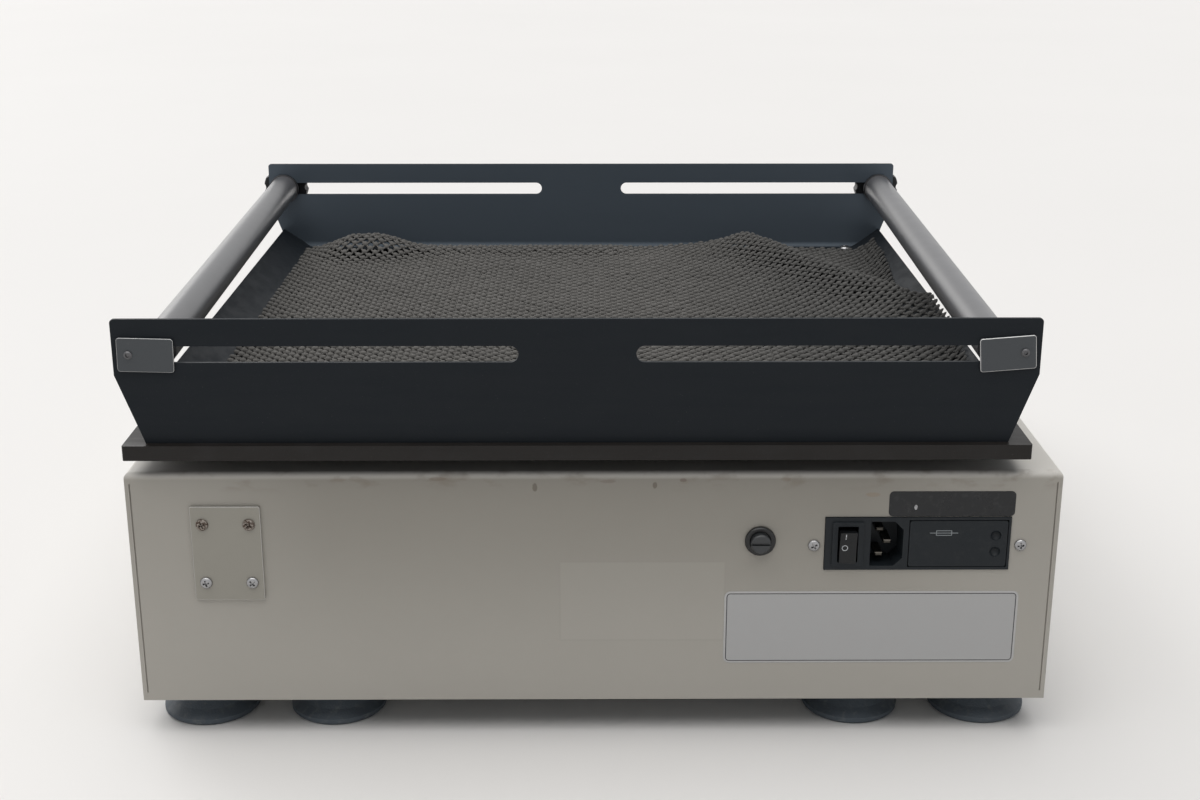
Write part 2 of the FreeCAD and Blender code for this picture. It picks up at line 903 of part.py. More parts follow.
def motor_bracket():
    """A bent plate that stands over the small pulley."""
    half = bracket_size / 2
    x = (motor_x - half, motor_x + half)
    top = block(x, (main_y - half, main_y + half), (bracket_top - bracket_sheet, bracket_top))
    pieces = [top]
    for row in (-1, 1):
        wall = sorted((main_y + row * half, main_y + row * (half - bracket_sheet)))
        foot = sorted((main_y + row * (half - bracket_sheet), main_y + row * (half + bracket_foot)))
        pieces.append(block(x, wall, (base_top, bracket_top)))
        pieces.append(block(x, foot, (base_top, base_top + bracket_sheet)))
    bracket = joined(pieces)
    cuts = [post(bracket_hole_radius, motor_x, main_y, base_top, bracket_top)]
    for spot in bracket_screw_spots():
        cuts.append(post(leg_bolt_radius + seat_fit, spot[0], spot[1], base_top, base_top + bracket_sheet))
    return bracket.cut(cuts)


def motor_body():
    """The motor's case, hollow for the rotor, with cooling ribs."""
    low = bracket_top
    high = bracket_top + motor_height
    step = motor_wall / 4
    band = motor_height / 8
    profile = [(motor_shaft_radius + running_fit, low), (motor_radius, low), (motor_radius, low + band)]
    for index in range(1, 7, 2):
        base = low + band * index
        profile += [
            (motor_radius - step, base),
            (motor_radius - step, base + band),
            (motor_radius, base + band),
            (motor_radius, base + 2 * band),
        ]
    profile += [
        (motor_radius, high - step),
        (motor_radius - step, high),
        (0, high),
        (0, high - motor_end),
        (rotor_radius + part_gap, high - motor_end),
        (rotor_radius + part_gap, low + motor_end),
        (motor_shaft_radius + running_fit, low + motor_end),
    ]
    return lathe(profile, motor_x, main_y)


def motor_rotor():
    """The rotor and its shaft."""
    low = bracket_top + motor_end + part_gap
    high = bracket_top + motor_height - motor_end - part_gap
    profile = [
        (0, pulley_bottom - 1),
        (motor_shaft_radius, pulley_bottom - 1),
        (motor_shaft_radius, low),
        (rotor_radius, low),
        (rotor_radius, high),
        (0, high),
    ]
    return lathe(profile, motor_x, main_y)


def motor_pulley():
    """The small flanged pulley."""
    profile = pulley_profile(motor_pulley_radius, motor_shaft_radius + seat_fit, None, None)
    return lathe(profile, motor_x, main_y)


# Electrics

def board_corners():
    """The control board's four fixing points."""
    dx = board_width / 2 - board_screw_inset
    dy = board_length / 2 - board_screw_inset
    return [(board_x + i * dx, board_y + j * dy) for i in (-1, 1) for j in (-1, 1)]


def control_board():
    """The circuit board with its larger components."""
    low = base_top + board_lift
    high = low + board_thick
    x = (board_x - board_width / 2, board_x + board_width / 2)
    y = (board_y - board_length / 2, board_y + board_length / 2)
    pieces = [block(x, y, (low, high))]
    for dx, dy, width, length, height in board_parts:
        part_x = (board_x + dx - width / 2, board_x + dx + width / 2)
        part_y = (board_y + dy - length / 2, board_y + dy + length / 2)
        pieces.append(block(part_x, part_y, (low, high + height)))
    return joined(pieces)


def board_standoffs():
    """Four pillars under the control board."""
    high = base_top + board_lift
    return Part.makeCompound([post(standoff_radius, x, y, base_top, high) for x, y in board_corners()])


def transformer():
    """A laminated core with its coil."""
    half_w = transformer_width / 2
    half_s = transformer_stack / 2
    x = (transformer_x - half_w, transformer_x + half_w)
    y = (transformer_y - half_s, transformer_y + half_s)
    core = block(x, y, (base_top, base_top + transformer_height))
    coil_x = (transformer_x - half_w + coil_margin, transformer_x + half_w - coil_margin)
    coil_y = (y[0] - coil_over, y[1] + coil_over)
    coil_z = (base_top + coil_margin, base_top + transformer_height - coil_margin)
    coil = block(coil_x, coil_y, coil_z)
    corners = [edge for edge in coil.Edges if abs(edge.CenterOfMass.x - transformer_x) > 1]
    coil = coil.makeFillet(coil_margin / 3, corners)
    return joined([core, coil])


# Rear panel fittings

def plate_screw_spots():
    """The blank plate's four screws."""
    across = (plate_x - plate_screw_dx, plate_x + plate_screw_dx)
    up = (plate_z - plate_screw_up, plate_z + plate_screw_up)
    return [(x, z) for x in across for z in up]


def module_screw_spots():
    """The power entry module's two screws."""
    return [(module_x + i * module_screw_x, module_z - module_screw_drop) for i in (-1, 1)]


def port_cover_plate():
    """The blank plate over an unused port."""
    near = rear_y - plate_thick
    plate = rear_plate(plate_width, plate_height, plate_corner, plate_x, plate_z, near, rear_y)
    hole_radius = small_screw_radius + seat_fit
    return plate.cut([rod_y(hole_radius, x, z, near, rear_y) for x, z in plate_screw_spots()])


def small_screws(spots, seat_y):
    """Pan head screws at the given places."""
    head = (small_screw_head_radius, small_screw_head)
    shank = (small_screw_radius, small_screw_length)
    return Part.makeCompound([pan_screw(x, z, seat_y, *head, *shank) for x, z in spots])


def power_entry_body():
    """The moulded module: frame for the rocker, inlet well, drawer well, and ears behind the panel."""
    near = rear_y - module_proud
    far = rear_y + module_deep
    face_x = (module_x - module_width / 2, module_x + module_width / 2)
    face_z = (module_z - module_height / 2, module_z + module_height / 2)
    body = block(face_x, (near, far), face_z)
    ears = block(
        (face_x[0] - module_ear, face_x[1] + module_ear),
        (rear_y + case_sheet, rear_y + case_sheet + module_ear_thick),
        face_z,
    )
    frame = rear_plate(
        rocker_frame_width,
        rocker_frame_height,
        rocker_frame_corner,
        module_x + rocker_x,
        module_z,
        near - rocker_frame,
        near,
    )
    body = joined([body, ears, frame])
    cuts = []
    rocker_w = rocker_width / 2 + rocker_gap
    rocker_h = rocker_height / 2 + rocker_gap
    cuts.append(block(
        (module_x + rocker_x - rocker_w, module_x + rocker_x + rocker_w),
        (near - rocker_frame, rear_y + rocker_well),
        (module_z - rocker_h, module_z + rocker_h),
    ))
    cuts.append(inlet_well())
    drawer_w = drawer_width / 2 + drawer_gap
    drawer_h = drawer_height / 2 + drawer_gap
    cuts.append(block(
        (module_x + drawer_x - drawer_w, module_x + drawer_x + drawer_w),
        (near, rear_y + drawer_front + part_gap),
        (module_z - drawer_h, module_z + drawer_h),
    ))
    box_w = drawer_box_width / 2 + drawer_box_gap
    box_h = drawer_box_height / 2 + drawer_box_gap
    cuts.append(block(
        (module_x + drawer_x - box_w, module_x + drawer_x + box_w),
        (near, rear_y + drawer_deep + drawer_front + part_gap),
        (module_z - box_h, module_z + box_h),
    ))
    for x, z in module_screw_spots():
        cuts.append(rod_y(small_screw_radius + seat_fit, x, z, rear_y, far))
    return joined([body.cut(cuts), rocker_pin(rocker_pin_radius, rocker_w + rocker_frame)])


def rocker_pin(radius, reach):
    """The rocker's pivot pin, or its bore, that reaches to both sides of the rocker's middle."""
    middle = V(module_x + rocker_x - reach, rear_y + rocker_pivot_deep, module_z)
    return Part.makeCylinder(radius, 2 * reach, middle, V(1, 0, 0))


def inlet_well():
    """The inlet's cavity, with two corners cut on the earth pin's side."""
    left = module_x + inlet_x - inlet_width / 2
    right = left + inlet_width
    low = module_z - inlet_height / 2
    high = low + inlet_height
    near = rear_y - module_proud
    outline = [
        V(left, near, low),
        V(right - inlet_chamfer, near, low),
        V(right, near, low + inlet_chamfer),
        V(right, near, high - inlet_chamfer),
        V(right - inlet_chamfer, near, high),
        V(left, near, high),
    ]
    face = Part.Face(Part.makePolygon(outline + outline[:1]))
    return face.extrude(V(0, inlet_deep, 0))


def inlet_pins():
    """Line, neutral and earth blades."""
    floor = rear_y - module_proud + inlet_deep
    spots = [(pin_row_x, pin_spacing / 2), (pin_row_x, -pin_spacing / 2), (earth_pin_x, 0.0)]
    blades = []
    for dx, dz in spots:
        x = module_x + inlet_x + dx
        z = module_z + dz
        blade = block(
            (x - pin_wide / 2, x + pin_wide / 2),
            (floor - pin_length, floor),
            (z - pin_flat / 2, z + pin_flat / 2),
        )
        tip = [e for e in blade.Edges if abs(e.CenterOfMass.y - (floor - pin_length)) < 0.01]
        blades.append(blade.makeChamfer(pin_chamfer, tip))
    return Part.makeCompound(blades)


def power_rocker():
    """The rocker: a shallow vee face on a round belly, bored for its pin, its upper end out."""
    half = rocker_height / 2
    inner = half - rocker_taper
    pivot_y = rear_y + rocker_pivot_deep
    face = -(rocker_pivot_deep + module_proud + rocker_frame + rocker_rise)
    shoulder = face + rocker_side
    outline = [
        V(0, shoulder, inner),
        V(0, face, half),
        V(0, face + rocker_dip, half * 0.1),
        V(0, face + rocker_dip, -half * 0.1),
        V(0, face, -half),
        V(0, shoulder, -inner),
    ]
    belly = Part.Arc(outline[-1], V(0, half / 2, 0), outline[0]).toShape()
    sides = [Part.LineSegment(a, b).toShape() for a, b in zip(outline, outline[1:])]
    profile = Part.Face(Part.Wire(sides + [belly]))
    rocker = profile.extrude(V(rocker_width, 0, 0)).translated(V(-rocker_width / 2, 0, 0))
    rocker.rotate(V(0, 0, 0), V(1, 0, 0), rocker_tilt)
    rocker = rocker.translated(V(module_x + rocker_x, pivot_y, module_z))
    return rocker.cut(rocker_pin(rocker_pin_radius + running_fit, rocker_width))


def main_fuse_drawer():
    """The fuse drawer: its front cover and an open-topped box behind it."""
    near = rear_y - module_proud
    middle = module_x + drawer_x
    back = rear_y + drawer_front
    cover = rear_plate(drawer_width, drawer_height, drawer_corner, middle, module_z, near, back)
    half_w = drawer_box_width / 2
    half_h = drawer_box_height / 2
    x = (middle - half_w, middle + half_w)
    y = (rear_y, back + drawer_deep)
    box = block(x, y, (module_z - half_h, module_z + half_h))
    well = block(
        (x[0] + drawer_wall, x[1] - drawer_wall),
        (back + drawer_wall, y[1] - drawer_wall),
        (module_z - half_h + drawer_wall, module_z + half_h),
    )
    drawer = joined([cover, box.cut(well)])
    notch_x = middle + drawer_width / 2 - 2 * drawer_notch_radius
    notch_z = drawer_notch_radius * 1.5
    notches = []
    for z in (module_z - notch_z, module_z + notch_z):
        notches.append(Part.makeSphere(drawer_notch_radius, V(notch_x, near - drawer_notch_out, z)))
    return drawer.cut(notches)


def cartridge(x, y, z, across):
    """A glass fuse with end caps, lying along X or along Y."""
    half = fuse_length / 2
    glass = half - fuse_ferrule
    glass_radius = fuse_radius - fuse_glass_step
    profile = [
        (0, -half),
        (fuse_radius, -half),
        (fuse_radius, -glass),
        (glass_radius, -glass),
        (glass_radius, glass),
        (fuse_radius, glass),
        (fuse_radius, half),
        (0, half),
    ]
    fuse = lathe(profile, 0, 0)
    if across:
        fuse.rotate(V(0, 0, 0), V(0, 1, 0), 90)
    else:
        fuse.rotate(V(0, 0, 0), V(1, 0, 0), -90)
    return fuse.translated(V(x, y, z))


def main_fuse():
    """The fuse that lies in the drawer."""
    y = rear_y + drawer_front + drawer_deep / 2
    z = module_z - drawer_box_height / 2 + drawer_wall + fuse_radius
    return cartridge(module_x + drawer_x, y, z, True)


def fuse_holder_body():
    """The panel fuse holder's sleeve, with its nut behind the panel."""
    cap_room = fuse_cap_radius + fuse_cap_gap
    fuse_room = fuse_radius + fuse_gap
    floor = fuse_body_length - fuse_body_end
    sleeve = lathe_rear(
        [
            (cap_room, -fuse_bezel),
            (fuse_bezel_radius - fuse_bevel, -fuse_bezel),
            (fuse_bezel_radius, -fuse_bezel + fuse_bevel),
            (fuse_bezel_radius, 0),
            (fuse_body_radius, 0),
            (fuse_body_radius, fuse_body_length),
            (0, fuse_body_length),
            (0, floor),
            (fuse_room, floor),
            (fuse_room, fuse_cap_in + 1),
            (cap_room, fuse_cap_in + 1),
        ],
        fuse_x,
        fuse_z,
    )
    nut = hexagon(fuse_nut_radius, fuse_nut).cut(post(fuse_body_radius + seat_fit, 0, 0, 0, fuse_nut))
    nut.rotate(V(0, 0, 0), V(1, 0, 0), -90)
    nut = nut.translated(V(fuse_x, rear_y + case_sheet, fuse_z))
    return Part.makeCompound([sleeve, nut])


def fuse_holder_cap():
    """The turn cap with its screwdriver slot and a socket for the fuse."""
    socket = fuse_radius + fuse_socket_gap
    socket_end = fuse_cap_in - fuse_socket_depth
    cap = lathe_rear(
        [
            (0, -fuse_cap_out),
            (fuse_cap_radius - fuse_bevel, -fuse_cap_out),
            (fuse_cap_radius, -fuse_cap_out + fuse_bevel),
            (fuse_cap_radius, fuse_cap_in),
            (socket, fuse_cap_in),
            (socket, socket_end),
            (0, socket_end),
        ],
        fuse_x,
        fuse_z,
    )
    face = rear_y - fuse_cap_out
    slot = block(
        (fuse_x - fuse_cap_radius, fuse_x + fuse_cap_radius),
        (face, face + fuse_slot_depth),
        (fuse_z - fuse_slot_width / 2, fuse_z + fuse_slot_width / 2),
    )
    return cap.cut(slot)


def control_fuse():
    """The fuse carried in the turn cap."""
    start = rear_y + fuse_cap_in - fuse_socket_depth + fuse_cap_gap
    return cartridge(fuse_x, start + fuse_length / 2, fuse_z, False)


# Front console

def control_fascia():
    """The thin panel on the slope, open at the window and keys."""
    panel = rounded_plate(fascia_width, fascia_height, fascia_corner, 0, fascia_thick)
    window = rounded_plate(window_width, window_height, key_corner, -1, fascia_thick + 1)
    cuts = [window.translated(V(window_x, window_y, 0))]
    for x in key_places():
        cuts.append(key_hole(-1, fascia_thick + 1).translated(V(x, key_y, 0)))
    return on_console(panel.cut(cuts))


def display_window():
    """The tinted window, stepped so that its rim lies on the sheet."""
    rim = rounded_plate(
        window_width - 2 * cover_gap, window_height - 2 * cover_gap, key_corner, 0, fascia_thick
    )
    plug = rounded_plate(
        window_width - case_sheet - 2 * cover_gap,
        window_height - case_sheet - 2 * cover_gap,
        key_corner - cover_gap,
        fascia_thick - window_thick,
        fascia_thick / 2,
    )
    return on_console(joined([rim, plug]).translated(V(window_x, window_y, 0)))


def key(x):
    """One key cap with a skirt under the sheet."""
    deep = -case_sheet - key_under
    cap = rounded_plate(key_width, key_height, key_corner, deep, fascia_thick + key_proud)
    edges = [e for e in cap.Edges if abs(e.CenterOfMass.z - (fascia_thick + key_proud)) < 0.01]
    cap = cap.makeFillet(key_round, edges)
    skirt = rounded_plate(
        key_width + 2 * key_skirt, key_height + 2 * key_skirt, key_corner, deep - key_flange, deep
    )
    return on_console(joined([cap, skirt]).translated(V(x, key_y, 0)))


def display_module():
    """The console's circuit board with the display block and its spacers."""
    top = -console_board_deep
    low = top - board_thick
    board = rounded_plate(console_board_width, console_board_height, board_corner, low, top)
    pieces = [board.translated(V(0, window_y, 0))]
    block_low = top - board_thick / 2
    display = block(
        (window_x - display_width / 2, window_x + display_width / 2),
        (window_y - display_height / 2, window_y + display_height / 2),
        (block_low, -display_deep),
    )
    pieces.append(display)
    dx = console_board_width / 2 - console_board_corner
    dy = console_board_height / 2 - console_board_corner
    for i in (-1, 1):
        for j in (-1, 1):
            spacer = post(standoff_radius, i * dx, window_y + j * dy, block_low, -case_sheet)
            pieces.append(spacer)
    return on_console(joined(pieces))


# Platform

def platform_plate():
    """The flat shaking plate, with countersunk holes over the hubs."""
    plate = rounded_plate(platform_size, platform_size, platform_corner, platform_bottom, platform_top)
    plate = plate.translated(V(offset_x, drive_y + offset_y, 0))
    cuts = []
    for x, y in hub_screw_spots():
        cuts.append(hub_screw(x, y, seat_fit))
    for x, y in tray_screw_spots():
        cuts.append(post(tray_screw_radius + seat_fit, x, y, platform_bottom, platform_top))
    return plate.cut(cuts)


def hub_screw_spots():
    """Four screws round each hub."""
    spots = []
    for x, y in shaft_axes:
        for index in range(4):
            angle = math.pi / 4 + math.pi / 2 * index
            spot_x = x + offset_x + hub_screw_circle * math.cos(angle)
            spot_y = y + offset_y + hub_screw_circle * math.sin(angle)
            spots.append((spot_x, spot_y))
    return spots


def hub_screw(x, y, gap):
    """A countersunk screw through the platform, or its clearance with a gap."""
    low = platform_top - hub_screw_length
    profile = [
        (0, low - gap),
        (hub_screw_radius + gap, low - gap),
        (hub_screw_radius + gap, platform_top - hub_screw_head),
        (hub_screw_head_radius + gap, platform_top),
        (0, platform_top),
    ]
    return lathe(profile, x, y)


def platform_hubs():
    """Three flanged bearing hubs under the platform."""
    hubs = []
    for x, y in shaft_axes:
        hub_x = x + offset_x
        hub_y = y + offset_y
        flange_low = platform_bottom - hub_flange
        seat_top = upper_bearing_bottom + bearing_width
        profile = [
            (bearing_radius + seat_fit, hub_bottom),
            (hub_radius, hub_bottom),
            (hub_radius, flange_low),
            (hub_flange_radius, flange_low),
            (hub_flange_radius, platform_bottom),
            (0, platform_bottom),
            (0, seat_top + hub_relief),
            (hub_relief_radius, seat_top + hub_relief),
            (hub_relief_radius, seat_top),
            (bearing_radius + seat_fit, seat_top),
        ]
        hub = lathe(profile, hub_x, hub_y)
        hubs.append(hub)
    screws = [hub_screw(x, y, seat_fit) for x, y in hub_screw_spots()]
    return Part.makeCompound([hub.cut(screws) for hub in hubs])


def platform_screws():
    """The screws that hold the platform on its hubs."""
    return Part.makeCompound([hub_screw(x, y, 0) for x, y in hub_screw_spots()])


# Tray

def tray_screw_spots():
    """The tray's corner screws."""
    near = tray_rear_y + tray_sheet + tray_screw_inset
    far = tray_front_y - tray_sheet - tray_screw_inset
    return [(tray_x + i * tray_screw_x, y) for i in (-1, 1) for y in (near, far)]


def end_panel(near):
    """One tall end panel: slanted below the knee, round top corners, two slots."""
    half_top = tray_top_width / 2
    half_low = tray_floor_width / 2
    knee_z = platform_top + tray_knee
    bow = tray_corner * (1 - math.sqrt(0.5))
    right = [
        V(half_low, 0, platform_top),
        V(half_top, 0, knee_z),
        V(half_top, 0, tray_top - tray_corner),
        V(half_top - bow, 0, tray_top - bow),
        V(half_top - tray_corner, 0, tray_top),
    ]
    left = [V(-p.x, 0, p.z) for p in right]
    edges = [
        Part.LineSegment(left[0], right[0]).toShape(),
        Part.LineSegment(right[0], right[1]).toShape(),
        Part.LineSegment(right[1], right[2]).toShape(),
        Part.Arc(right[2], right[3], right[4]).toShape(),
        Part.LineSegment(right[4], left[4]).toShape(),
        Part.Arc(left[4], left[3], left[2]).toShape(),
        Part.LineSegment(left[2], left[1]).toShape(),
        Part.LineSegment(left[1], left[0]).toShape(),
    ]
    panel = Part.Face(Part.Wire(edges)).extrude(V(0, tray_sheet, 0))
    slot_length = slot_outer_x - slot_inner_x
    slot_middle = (slot_outer_x + slot_inner_x) / 2
    cuts = []
    for side in (-1, 1):
        slot = rounded_plate(slot_length, 2 * slot_radius, slot_radius * 0.999, -tray_sheet, 2 * tray_sheet)
        slot.rotate(V(0, 0, 0), V(1, 0, 0), -90)
        cuts.append(slot.translated(V(side * slot_middle, 0, slot_z)))
    return panel.cut(cuts).translated(V(tray_x, near, 0))


def lip_slope():
    """The angle at which the side lips rise from the floor."""
    return math.atan2(lip_height, lip_run)


def side_lip(side):
    """A low side wall that slopes out and up from the floor."""
    across = tray_sheet * math.sin(lip_slope())
    up = tray_sheet * math.cos(lip_slope())
    outline = [
        V(side * (lip_foot - tray_sheet), 0, platform_top),
        V(side * lip_foot, 0, platform_top),
        V(side * (lip_foot + lip_run), 0, platform_top + lip_height),
        V(side * (lip_foot + lip_run - across), 0, platform_top + lip_height + up),
        V(side * (lip_foot - across), 0, platform_top + up),
        V(side * (lip_foot - tray_sheet), 0, platform_top + up),
    ]
    face = Part.Face(Part.makePolygon(outline + outline[:1]))
    return face.extrude(V(0, tray_depth, 0)).translated(V(tray_x, tray_rear_y, 0))


def lip_room(side):
    """What the mat leaves free along a side lip: everything up to a small gap over its inner face."""
    slope = math.tan(lip_slope())
    start = lip_foot - lip_run
    end = lip_foot + 2 * lip_run
    over = (tray_sheet + part_gap) / math.cos(lip_slope())
    outline = [
        V(side * start, 0, platform_top + over - slope * lip_run),
        V(side * end, 0, platform_top + over + slope * 2 * lip_run),
        V(side * end, 0, platform_top - lip_run),
        V(side * start, 0, platform_top - lip_run),
    ]
    face = Part.Face(Part.makePolygon(outline + outline[:1]))
    return face.extrude(V(0, tray_depth, 0)).translated(V(tray_x, tray_rear_y, 0))


def tray():
    """The whole folded tray."""
    floor = block(
        (tray_x - lip_foot, tray_x + lip_foot),
        (tray_rear_y, tray_front_y),
        (platform_top, floor_top),
    )
    panels = [end_panel(tray_rear_y), end_panel(tray_front_y - tray_sheet)]
    whole = joined([floor, side_lip(-1), side_lip(1)] + panels)
    hole_radius = tray_screw_radius + seat_fit
    return whole.cut([post(hole_radius, x, y, platform_top, floor_top) for x, y in tray_screw_spots()])


def tray_screws():
    """Pan head screws that hold the tray on the platform."""
    screws = []
    low = platform_bottom + platform_thick * 0.1
    for x, y in tray_screw_spots():
        profile = [
            (0, low),
            (tray_screw_radius, low),
            (tray_screw_radius, floor_top),
            (tray_screw_head_radius, floor_top),
            (tray_screw_head_radius, floor_top + tray_screw_head * 0.5),
            (tray_screw_head_radius * 0.65, floor_top + tray_screw_head),
            (0, floor_top + tray_screw_head),
        ]
        screws.append(lathe(profile, x, y))
    return Part.makeCompound(screws)


def mat_height(x, y):
    """The mat's top over its flat underside, at a point measured from the tray's centre."""
    height = mat_thick
    for x0, y0, x1, y1, spread, far_spread, rise in wrinkles:
        run = (x1 - x0) ** 2 + (y1 - y0) ** 2
        share = ((x - x0) * (x1 - x0) + (y - y0) * (y1 - y0)) / run
        share = min(1.0, max(0.0, share))
        away = math.hypot(x - x0 - share * (x1 - x0), y - y0 - share * (y1 - y0))
        beyond = (x - x0) * (y1 - y0) - (y - y0) * (x1 - x0) < 0
        height += rise * math.exp(-((away / (far_spread if beyond else spread)) ** 2))
    climb = max(0.0, abs(x) - lip_foot) * lip_height / lip_run
    return max(height, mat_thick + climb)


def mat():
    """The loose mat, a lofted sheet with wrinkles, its corners clear of the tray screws."""
    low = floor_top + part_gap
    half = mat_width / 2
    sections = []
    for row in range(mat_rows_count + 1):
        y = mat_depth * (row / mat_rows_count - 0.5)
        xs = [mat_width * (i / mat_columns_count - 0.5) for i in range(mat_columns_count + 1)]
        tops = [V(x, y, mat_height(x + mat_shift_x, y)) for x in xs]
        curve = Part.BSplineCurve()
        curve.interpolate(tops)
        left = V(-half, y, 0)
        right = V(half, y, 0)
        edges = [
            Part.LineSegment(left, tops[0]).toShape(),
            curve.toShape(),
            Part.LineSegment(tops[-1], right).toShape(),
            Part.LineSegment(right, left).toShape(),
        ]
        sections.append(Part.Wire(edges))
    sheet = Part.makeLoft(sections, True, False)
    sheet = sheet.translated(V(tray_x + mat_shift_x, tray_y, low))
    room = tray_screw_head_radius + mat_screw_room
    corners = []
    for x, y in tray_screw_spots():
        far_x = x + math.copysign(2 * mat_thick + room, x - tray_x)
        far_y = y + math.copysign(2 * mat_thick + room, y - tray_y)
        near_x = x - math.copysign(room, x - tray_x)
        near_y = y - math.copysign(room, y - tray_y)
        span_x = sorted((near_x, far_x))
        span_y = sorted((near_y, far_y))
        corners.append(block(span_x, span_y, (low - mat_thick, low + 6 * mat_thick)))
    return sheet.cut(corners + [lip_room(-1), lip_room(1)])


# Grip bars

def bar_ends(side):
    """The bar axis at the inner faces of the rear and front panels."""
    rear = V(tray_x + side * bar_rear_x, tray_rear_y + tray_sheet, slot_z)
    front = V(tray_x + side * bar_front_x, tray_front_y - tray_sheet, slot_z)
    return rear, front


def bar_piece(side, radius, rear_stop, front_stop):
    """A cylinder on the bar's slightly skewed axis, stopped short of both panels."""
    rear, front = bar_ends(side)
    along = (front - rear).normalize()
    start = rear + along * rear_stop
    length = (front - rear).Length - rear_stop - front_stop
    return Part.makeCylinder(radius, length, start, along)


def grip_bar_rod(side):
    """The steel rod, with a stud at each end that passes through the slots."""
    rear, front = bar_ends(side)
    core = bar_piece(side, rod_radius, rod_shoulder_gap, rod_shoulder_gap)
    keeper_face = tray_rear_y - part_gap
    knob_end = tray_front_y + part_gap + knob_boss + knob_bore
    rear_stud = rod_y(stud_radius, rear.x, slot_z, keeper_face, rear.y + 2 * rod_shoulder_gap)
    front_stud = rod_y(stud_radius, front.x, slot_z, front.y - 2 * rod_shoulder_gap, knob_end)
    collar = bar_piece(side, collar_radius, (front - rear).Length - sleeve_front_stop, rod_shoulder_gap)
    return joined([core, rear_stud, front_stud, collar])


def grip_bar_sleeve(side):
    """The black sleeve on the rod."""
    sleeve = bar_piece(side, bar_radius, sleeve_rear_stop, sleeve_front_stop)
    return sleeve.cut(bar_piece(side, rod_radius + seat_fit, 0, 0))


def keeper_plate(side):
    """The steel plate that covers the slot's end, tilted as it was tightened."""
    tilt = keeper_tilt_left if side < 0 else keeper_tilt_right
    far = tray_rear_y - part_gap
    near = far - keeper_thick
    plate = rear_plate(keeper_width, keeper_height, keeper_corner, side * keeper_x, 0, near, far)
    plate = plate.cut(rod_y(keeper_screw_radius + seat_fit, side * keeper_screw_x, 0, near, far))
    plate.rotate(V(side * bar_rear_x, 0, 0), V(0, 1, 0), tilt)
    return plate.translated(V(tray_x, 0, slot_z))


def keeper_screw(side):
    """The keeper plate's screw and the nut inside the panel."""
    tilt = keeper_tilt_left if side < 0 else keeper_tilt_right
    seat = tray_rear_y - part_gap - keeper_thick
    inside = tray_rear_y + tray_sheet + part_gap
    nut_end = inside + keeper_nut_thick
    x = side * keeper_screw_x
    head = (keeper_screw_head_radius, keeper_screw_head)
    screw = pan_screw(x, 0, seat, *head, keeper_screw_radius, nut_end + keeper_screw_over - seat)
    half = keeper_nut / 2
    nut = block((x - half, x + half), (inside, nut_end), (-half, half))
    nut = nut.cut(rod_y(keeper_screw_radius + seat_fit, x, 0, inside, nut_end))
    pair = Part.makeCompound([screw, nut])
    pair.rotate(V(side * bar_rear_x, 0, 0), V(0, 1, 0), tilt)
    return pair.translated(V(tray_x, 0, slot_z))


def clamp_knob(side):
    """The fluted knob outside the front panel."""
    front = bar_ends(side)[1]
    near = tray_front_y + part_gap
    face = near + knob_boss
    far = face + knob_thick
    knob = rod_y(knob_radius, front.x, slot_z, face, far)
    rims = [e for e in knob.Edges if e.Closed]
    knob = knob.makeFillet(knob_round, rims)
    flute_circle = knob_radius + knob_flute_radius * 0.5
    flutes = []
    for index in range(knob_flutes):
        angle = 2 * math.pi * index / knob_flutes
        flute_x = front.x + flute_circle * math.cos(angle)
        flute_z = slot_z + flute_circle * math.sin(angle)
        flutes.append(rod_y(knob_flute_radius, flute_x, flute_z, face, far))
    knob = joined([knob.cut(flutes), rod_y(knob_boss_radius, front.x, slot_z, near, face + 1)])
    bore_end = face + knob_bore + part_gap
    return knob.cut(rod_y(stud_radius + running_fit, front.x, slot_z, near, bore_end))


parts = {
    "case_cover": case_cover(),
    "base_plate": base_plate(),
    "case_screws": case_screws(),
    "feet": feet(),
    "foot_screws": foot_screws(),
    "drive_housing": drive_housing(),
    "drive_bolts": drive_bolts(),
    "main_bearings": housing_bearings(shaft_axes[:1]),
    "idler_bearings": housing_bearings(shaft_axes[1:]),
    "main_crankshaft": crank(0.0, main_y, shaft_radius, pulley_bottom - 1),
    "main_counterweight": counterweight(0.0, main_y),
    "drive_pulley": drive_pulley(),
    "drive_belt": drive_belt(),
    "left_idler_crank": idler_crank(1),
    "left_counterweight": counterweight(*shaft_axes[1]),
    "right_idler_crank": idler_crank(2),
    "right_counterweight": counterweight(*shaft_axes[2]),
    "motor_bracket": motor_bracket(),
    "motor_body": motor_body(),
    "motor_rotor": motor_rotor(),
    "motor_pulley": motor_pulley(),
    "control_board": control_board(),
    "board_standoffs": board_standoffs(),
    "transformer": transformer(),
    "port_cover_plate": port_cover_plate(),
    "port_cover_screws": small_screws(plate_screw_spots(), rear_y - plate_thick),
    "power_entry_body": power_entry_body(),
    "power_entry_screws": small_screws(module_screw_spots(), rear_y),
    "inlet_pins": inlet_pins(),
    "power_rocker": power_rocker(),
    "main_fuse_drawer": main_fuse_drawer(),
    "main_fuse": main_fuse(),
    "fuse_holder_body": fuse_holder_body(),
    "fuse_holder_cap": fuse_holder_cap(),
    "control_fuse": control_fuse(),
    "control_fascia": control_fascia(),
    "display_window": display_window(),
    "display_module": display_module(),
    "platform_plate": platform_plate(),
    "platform_hubs": platform_hubs(),
    "platform_bearings": platform_bearings(),
    "platform_screws": platform_screws(),
    "tray": tray(),
    "tray_screws": tray_screws(),
    "mat": mat(),
}
for number, key_x in enumerate(key_places()):
    parts[f"key_{number + 1}"] = key(key_x)
